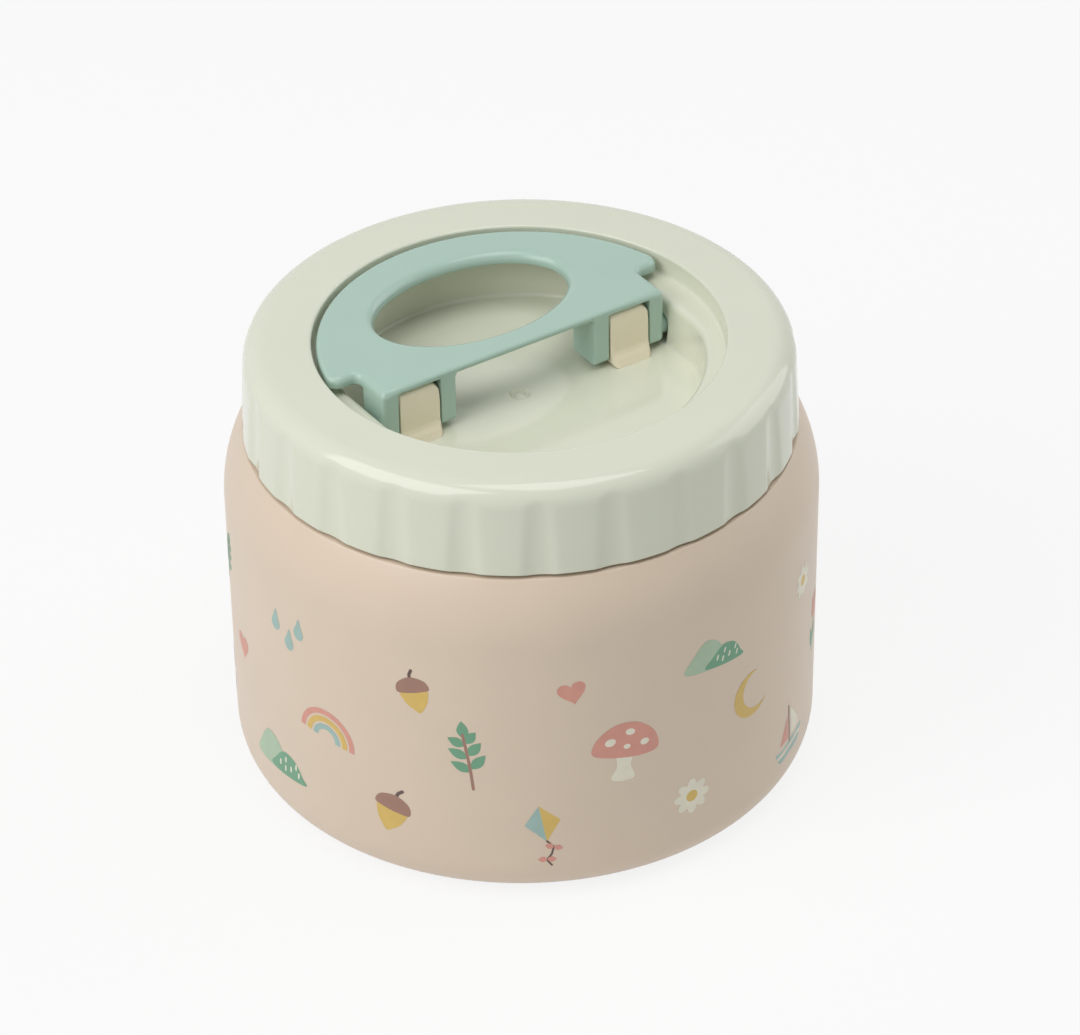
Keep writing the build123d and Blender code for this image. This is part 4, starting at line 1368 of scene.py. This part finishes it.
    def build_liner(self) -> None:
        """Makes the liner, a plug with a flange under the lid's top."""
        low, flange, top = self.liner_z, self.flange_z, self.flange_z + self.flange_t
        in_r = self.liner_r - self.liner_t
        liner = turned("lid_liner_plug", rounded([
            (0, low), (self.liner_r, low, 2.5), (self.liner_r, flange, 0.4), (self.flange_r, flange, 0.4),
            (self.flange_r, top, 0.4), (in_r, top, 0.3), (in_r, low + self.liner_t, 1.0),
            (0, low + self.liner_t)]), 224)
        dress(liner, LINER_PLASTIC, Body.LID, "lid_liner")

    def build_seal(self) -> None:
        """Makes the seal: a flat ring on the lip, and a sleeve with a fin that reaches the mouth."""
        top, in_r, out_r = self.seal_z, self.sleeve_r, self.sleeve_r + self.sleeve_t
        ring, fin_root, fin_top, fin_low, foot = (top - down for down in self.seal_steps)
        seal = turned("seal_ring_soft", rounded([
            (in_r, top, 0.2), (self.flange_r, top, 0.4), (self.flange_r, ring, 0.4),
            (out_r, ring, 0.2), (out_r, fin_root, 0.15), (self.fin_r, fin_top, 0.2),
            (self.fin_r, fin_low, 0.15), (out_r, fin_low, 0.15), (out_r, foot, 0.3),
            (in_r, foot, 0.2)]), 224)
        dress(seal, SILICONE, Body.SEAL, "seal_ring")


# ---- Posts and handle -----------------------------------------------------------
@dataclass
class Post:
    """Moulded post in one slot of the handle: rounded top, stepped foot and barbed tongue."""

    side: int
    half_w: float = 4.0
    top_r: float = 7.33
    front_y: float = -2.3
    back_y: float = 3.4
    edge: float = 0.45
    foot_edge: float = 0.55
    depth_edge: float = 0.3
    top_edge: float = 0.6
    top_corner: float = 1.9
    lean: float = 0.6
    lean_z: float = 76.0
    lean_run: float = 4.5
    step: float = 0.5
    step_top_z: float = 73.5
    step_low_z: float = 71.5
    run: float = 0.8
    run_z: float = 72.6
    round_z: float = 71.2
    pin_r: float = 1.3
    tongue_half_w: float = 2.8
    stem_half_d: float = 2.0
    barb_half_d: float = 2.5
    split_half_d: float = 0.6
    tongue_low: float = 68.43
    tongue_tip: float = 67.03
    overlap: float = 0.05
    space_low: tuple[float, float] = (-3.7, 66.9)
    space_high: tuple[float, float] = (3.5, 80.9)
    cell: float = 0.15

    def front(self, z: np.ndarray) -> np.ndarray:
        """Where the front stands at a height: it leans back at the top and steps out at the foot."""
        lean = self.lean * np.clip((z - self.lean_z) / self.lean_run, 0, None) ** 2
        t = ramp(z, self.step_top_z, self.step_low_z)
        slope_out = self.run * ramp(z, self.run_z, HINGE.floor_z) ** 1.5
        return self.front_y + lean - self.step * t * t * (3 - 2 * t) - slope_out

    def tongue(self, across: np.ndarray, y: np.ndarray, z: np.ndarray) -> np.ndarray:
        """Field of the split, barbed tongue under the post."""
        low, deep = self.tongue_low, np.abs(y - HINGE.y)
        stem = np.maximum(deep - self.stem_half_d,
                          np.maximum(low - self.overlap - z, z - HINGE.floor_z - 0.5))
        barb = np.maximum(deep - self.barb_half_d + (low - z) / (low - self.tongue_tip),
                          np.maximum(z - low, self.tongue_tip - z))
        split = np.maximum(deep - self.split_half_d, z - HINGE.floor_z)
        solid = np.maximum(np.minimum(stem, barb), across + self.half_w - self.tongue_half_w)
        return np.maximum(solid, -split)

    def field(self, x: np.ndarray, y: np.ndarray, z: np.ndarray) -> np.ndarray:
        """Field of the post, negative inside."""
        middle = self.side * HINGE.post_x
        right, left = x - middle - self.half_w, middle - self.half_w - x
        depth = meet(self.front(z) - y, y - self.back_y, self.depth_edge)
        crown = HINGE.away(y, z) - self.top_r
        body = meet(meet(depth, crown, self.top_edge), HINGE.floor_z - z, 0.05)
        edge = self.edge + self.foot_edge * ramp(z, self.run_z, self.round_z)
        body = meet(meet(body, right, edge), left, edge)
        body = np.maximum(body, meet(right, crown, self.top_corner))
        bore = self.pin_r - HINGE.away(y, z)
        return np.maximum(np.minimum(body, self.tongue(np.maximum(right, left), y, z)), bore)

    def build(self) -> None:
        """Makes the post."""
        name = "left" if self.side < 0 else "right"
        middle = self.side * HINGE.post_x
        space = ((middle - self.half_w, *self.space_low), (middle + self.half_w, *self.space_high))
        post = skin(f"hinge_post_{name}_moulded", self.field, space, self.cell)
        dress(post, POST_PLASTIC, Body.LID, f"hinge_post_{name}")


@dataclass
class Handle:
    """Folding handle: a D-shaped plate with a finger hole, ears and two forked hinge blocks."""

    outer_r: float = 34.95
    top_z: float = 82.21
    plate_t: float = 2.1
    edge: float = 0.85
    hole_edge: float = 1.65
    side_edge: float = 1.5
    front_edge: float = 0.6
    under_edge: float = 0.3
    lip_t: float = 1.0
    lip_run: float = 1.7
    hole_y: float = 14.99
    hole_half_w: float = 18.67
    hole_half_d: float = 11.76
    front_y: float = -2.07
    back_y: float = 4.9
    block_x: float = 29.1
    block_in_x: float = 14.3
    block_edge: float = 0.9
    block_in_edge: float = 0.45
    block_low_edge: float = 1.1
    full_edge_x: tuple[float, float] = (25.0, 28.0)
    full_edge_y: tuple[float, float] = (9.0, 5.0)
    fine_edge_x: tuple[float, float] = (24.0, 20.0)
    fine_edge_y: tuple[float, float] = (3.0, 0.0)
    lip_blend: float = 0.3
    block_depth_edge: float = 0.3
    slot_out_x: float = 26.0
    slot_in_x: float = 17.4
    slot_edge: float = 0.1
    slot_roof_edge: float = 0.3
    low_z: float = 71.48
    roof_z: float = 81.11
    ear_y: float = 6.2
    ear_edge: float = 2.6
    notch_r: float = 1.0
    trunnion_r: float = 1.75
    trunnion_x: float = 31.85
    bore_r: float = 1.27
    bore_x: float = 15.2
    space: tuple[Corner, Corner] = ((-35.2, -2.3, 71.2), (35.2, 35.2, 82.4))
    cell: float = 0.27

    def outline(self, across: np.ndarray, y: np.ndarray) -> np.ndarray:
        """Field of the plate's outline, for a distance across from the middle."""
        disc = np.hypot(across, y) - self.outer_r
        beside = join(across - self.block_x, self.ear_y - y, self.notch_r)
        return meet(meet(disc, beside, self.ear_edge), self.front_y - y, self.block_edge)

    def hole(self, x: np.ndarray, y: np.ndarray) -> np.ndarray:
        """Field of all that lies outside the oval finger hole."""
        far = np.hypot(x / self.hole_half_w, (y - self.hole_y) / self.hole_half_d)
        steep = np.hypot(x / self.hole_half_w ** 2, (y - self.hole_y) / self.hole_half_d ** 2)
        return -far * (far - 1) / np.maximum(steep, 1e-6)

    def plate(self, x: np.ndarray, y: np.ndarray, z: np.ndarray) -> np.ndarray:
        """Field of the plate: its edge is fuller beside the blocks, and its bar has a thin front lip."""
        across, top = np.abs(x), z - self.top_z
        by_block = ramp(across, *self.full_edge_x) * ramp(y, *self.full_edge_y)
        at_front = ramp(across, *self.fine_edge_x) * ramp(y, *self.fine_edge_y)
        edge = self.edge + (self.side_edge - self.edge) * by_block
        edge = edge + (self.front_edge - self.edge) * at_front
        upper = np.maximum(meet(self.outline(across, y), top, edge),
                           meet(self.hole(x, y), top, self.hole_edge))
        lip = ramp(y, self.front_y + self.lip_run, self.front_y)
        lip = lip * ramp(across, self.block_in_x + self.lip_blend, self.block_in_x - self.lip_blend)
        under = self.top_z - self.plate_t + (self.plate_t - self.lip_t) * lip
        return meet(upper, under - z, self.under_edge)

    def block(self, across: np.ndarray, y: np.ndarray, z: np.ndarray) -> np.ndarray:
        """Field of a hinge block before its slot is cut."""
        block = meet(self.front_y - y, y - self.back_y, self.block_depth_edge)
        block = meet(block, self.low_z - z, self.block_low_edge)
        block = meet(block, across - self.block_x, self.block_edge)
        block = meet(block, self.block_in_x - across, self.block_in_edge)
        return np.maximum(block, z - (self.top_z - self.side_edge))

    def field(self, x: np.ndarray, y: np.ndarray, z: np.ndarray) -> np.ndarray:
        """Field of the handle, negative inside."""
        across, away = np.abs(x), HINGE.away(y, z)
        ends = np.maximum(self.slot_out_x + 0.5 - across, across - self.trunnion_x)
        trunnion = meet(away - self.trunnion_r, ends, self.block_in_edge)
        solid = np.minimum(np.minimum(self.plate(x, y, z), self.block(across, y, z)), trunnion)
        slot = meet(self.slot_in_x - across, across - self.slot_out_x, self.slot_edge)
        slot = np.maximum(meet(slot, z - self.roof_z, self.slot_roof_edge), y - self.back_y - 1.0)
        bore = np.maximum(away - self.bore_r, self.bore_x - across)
        return np.maximum(np.maximum(solid, -slot), -bore)

    def build(self) -> None:
        """Makes the handle."""
        handle = skin("handle_moulded", self.field, self.space, self.cell)
        dress(handle, HANDLE_PLASTIC, Body.HANDLE, "handle")


# ---- Kept nodes -----------------------------------------------------------------
def finish_nodes() -> None:
    """Gives the nodes that are shown as packed their finishes."""
    for name, finish in {"getter": GETTER, "lid_insulation": FOAM, "hinge_pin_left": PIN_STEEL,
                         "hinge_pin_right": PIN_STEEL}.items():
        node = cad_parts[name]
        node.data.materials.clear()
        node.data.materials.append(finish.material())
        LOG.info("%s keeps its packed shape", name)


# ---- Studio ---------------------------------------------------------------------
@dataclass(frozen=True)
class SoftBox:
    """Soft box aimed at the jar. Azimuth 0 is the side of -Y, 90 the side of +X."""

    name: str
    azimuth: float
    elevation: float
    distance: float
    size: tuple[float, float]
    watts: float
    target: tuple[float, float, float] = (0.0, 0.0, 0.05)

    def hang(self) -> None:
        """Adds the lamp to the scene."""
        data = bpy.data.lights.new(self.name, "AREA")
        data.shape, data.energy = "RECTANGLE", self.watts
        data.size, data.size_y = self.size
        lamp = bpy.data.objects.new(self.name, data)
        bpy.context.scene.collection.objects.link(lamp)
        a, e = radians(self.azimuth), radians(self.elevation)
        back = Vector((sin(a) * cos(e), -cos(a) * cos(e), sin(e)))
        lamp.location = Vector(self.target) + back * self.distance
        lamp.rotation_euler = back.to_track_quat("Z", "Y").to_euler()


@dataclass
class Studio:
    """Pale floor, soft lamps and the camera. Lengths are in metres."""

    heading: float = 33.555
    tilt: float = 34.716
    roll: float = -0.848
    away: float = 0.7633633
    height: float = 0.5731567
    stand: float = 33.32
    lens: float = 176.0357
    backdrop: tuple[float, ...] = (0.985, 0.985, 0.985, 1.0)
    fill: tuple[float, ...] = (0.90, 1.0, 0.92, 1.0)
    fill_strength: float = 0.25
    floor_paint: tuple[float, ...] = (0.9, 0.9, 0.9, 1.0)
    floor_glow: float = 0.86
    floor_half_mm: float = 6000.0
    floor_z_mm: float = -0.02
    lamps: tuple[SoftBox, ...] = (
        SoftBox("key_soft_box", -90.0, 43.0, 0.95, (0.86, 0.72), 5.6),
        SoftBox("top_soft_box", 20.0, 82.0, 1.0, (0.55, 0.55), 2.45),
        SoftBox("fill_soft_box", 80.0, 25.0, 1.2, (0.9, 0.9), 3.4))

    def camera(self) -> None:
        """Places the camera."""
        data = bpy.data.cameras.new("camera")
        data.lens = self.lens
        data.sensor_width = 36.0
        data.clip_start, data.clip_end = 0.01, 20.0
        camera = bpy.data.objects.new("camera", data)
        bpy.context.scene.collection.objects.link(camera)
        turn = Matrix.Rotation(-radians(self.heading), 4, "Z")
        turn = turn @ Matrix.Rotation(pi / 2 - radians(self.tilt), 4, "X")
        turn = turn @ Matrix.Rotation(radians(self.roll), 4, "Z")
        a = radians(self.stand)
        spot = Vector((-self.away * sin(a), -self.away * cos(a), self.height))
        camera.matrix_world = Matrix.Translation(spot) @ turn
        bpy.context.scene.camera = camera

    def surroundings(self) -> None:
        """Sets an even world that the camera, reflections and clear materials see as the pale backdrop."""
        world = bpy.data.worlds.new("studio")
        bpy.context.scene.world = world
        world.use_nodes = True
        wiring = Wiring(world.node_tree)
        fill = wiring.add("ShaderNodeBackground", {"Color": self.fill, "Strength": self.fill_strength})
        pale = wiring.add("ShaderNodeBackground", {"Color": self.backdrop, "Strength": 1.0})
        mix = wiring.add("ShaderNodeMixShader", {0: wiring.sees_backdrop(), 1: fill.outputs[0],
                                                 2: pale.outputs[0]})
        wiring.add("ShaderNodeOutputWorld", {"Surface": mix.outputs[0]})

    def floor(self) -> None:
        """Lays a wide floor that keeps a faint shadow of the jar."""
        wide, z = self.floor_half_mm, self.floor_z_mm
        corners = np.array([(-wide, -wide, z), (wide, -wide, z), (wide, wide, z), (-wide, wide, z)])
        floor = place_piece("floor", corners, [[0, 1, 2, 3]])
        material = bpy.data.materials.new("floor_pale")
        material.use_nodes = True
        wiring = Wiring(material.node_tree)
        paint = wiring.add("ShaderNodeBsdfDiffuse", {"Color": self.floor_paint})
        glow = wiring.add("ShaderNodeEmission", {"Color": self.backdrop, "Strength": 1.0})
        share = wiring.math("MULTIPLY", wiring.sees_backdrop(), self.floor_glow)
        mix = wiring.add("ShaderNodeMixShader", {0: share, 1: paint.outputs[0], 2: glow.outputs[0]})
        wiring.add("ShaderNodeOutputMaterial", {"Surface": mix.outputs[0]})
        floor.data.materials.append(material)

    def build(self) -> None:
        """Sets up the whole studio."""
        self.camera()
        self.surroundings()
        self.floor()
        for lamp in self.lamps:
            lamp.hang()
        bpy.context.scene.view_settings.view_transform = "Standard"


def main() -> None:
    """Builds the studio and every piece, in order."""
    logging.basicConfig(level=logging.INFO, format="%(name)s: %(message)s")
    Studio().build()
    Jar().build()
    Lid().build()
    for side in (-1, 1):
        Post(side).build()
    Handle().build()
    finish_nodes()


if __name__ == "__main__":
    main()
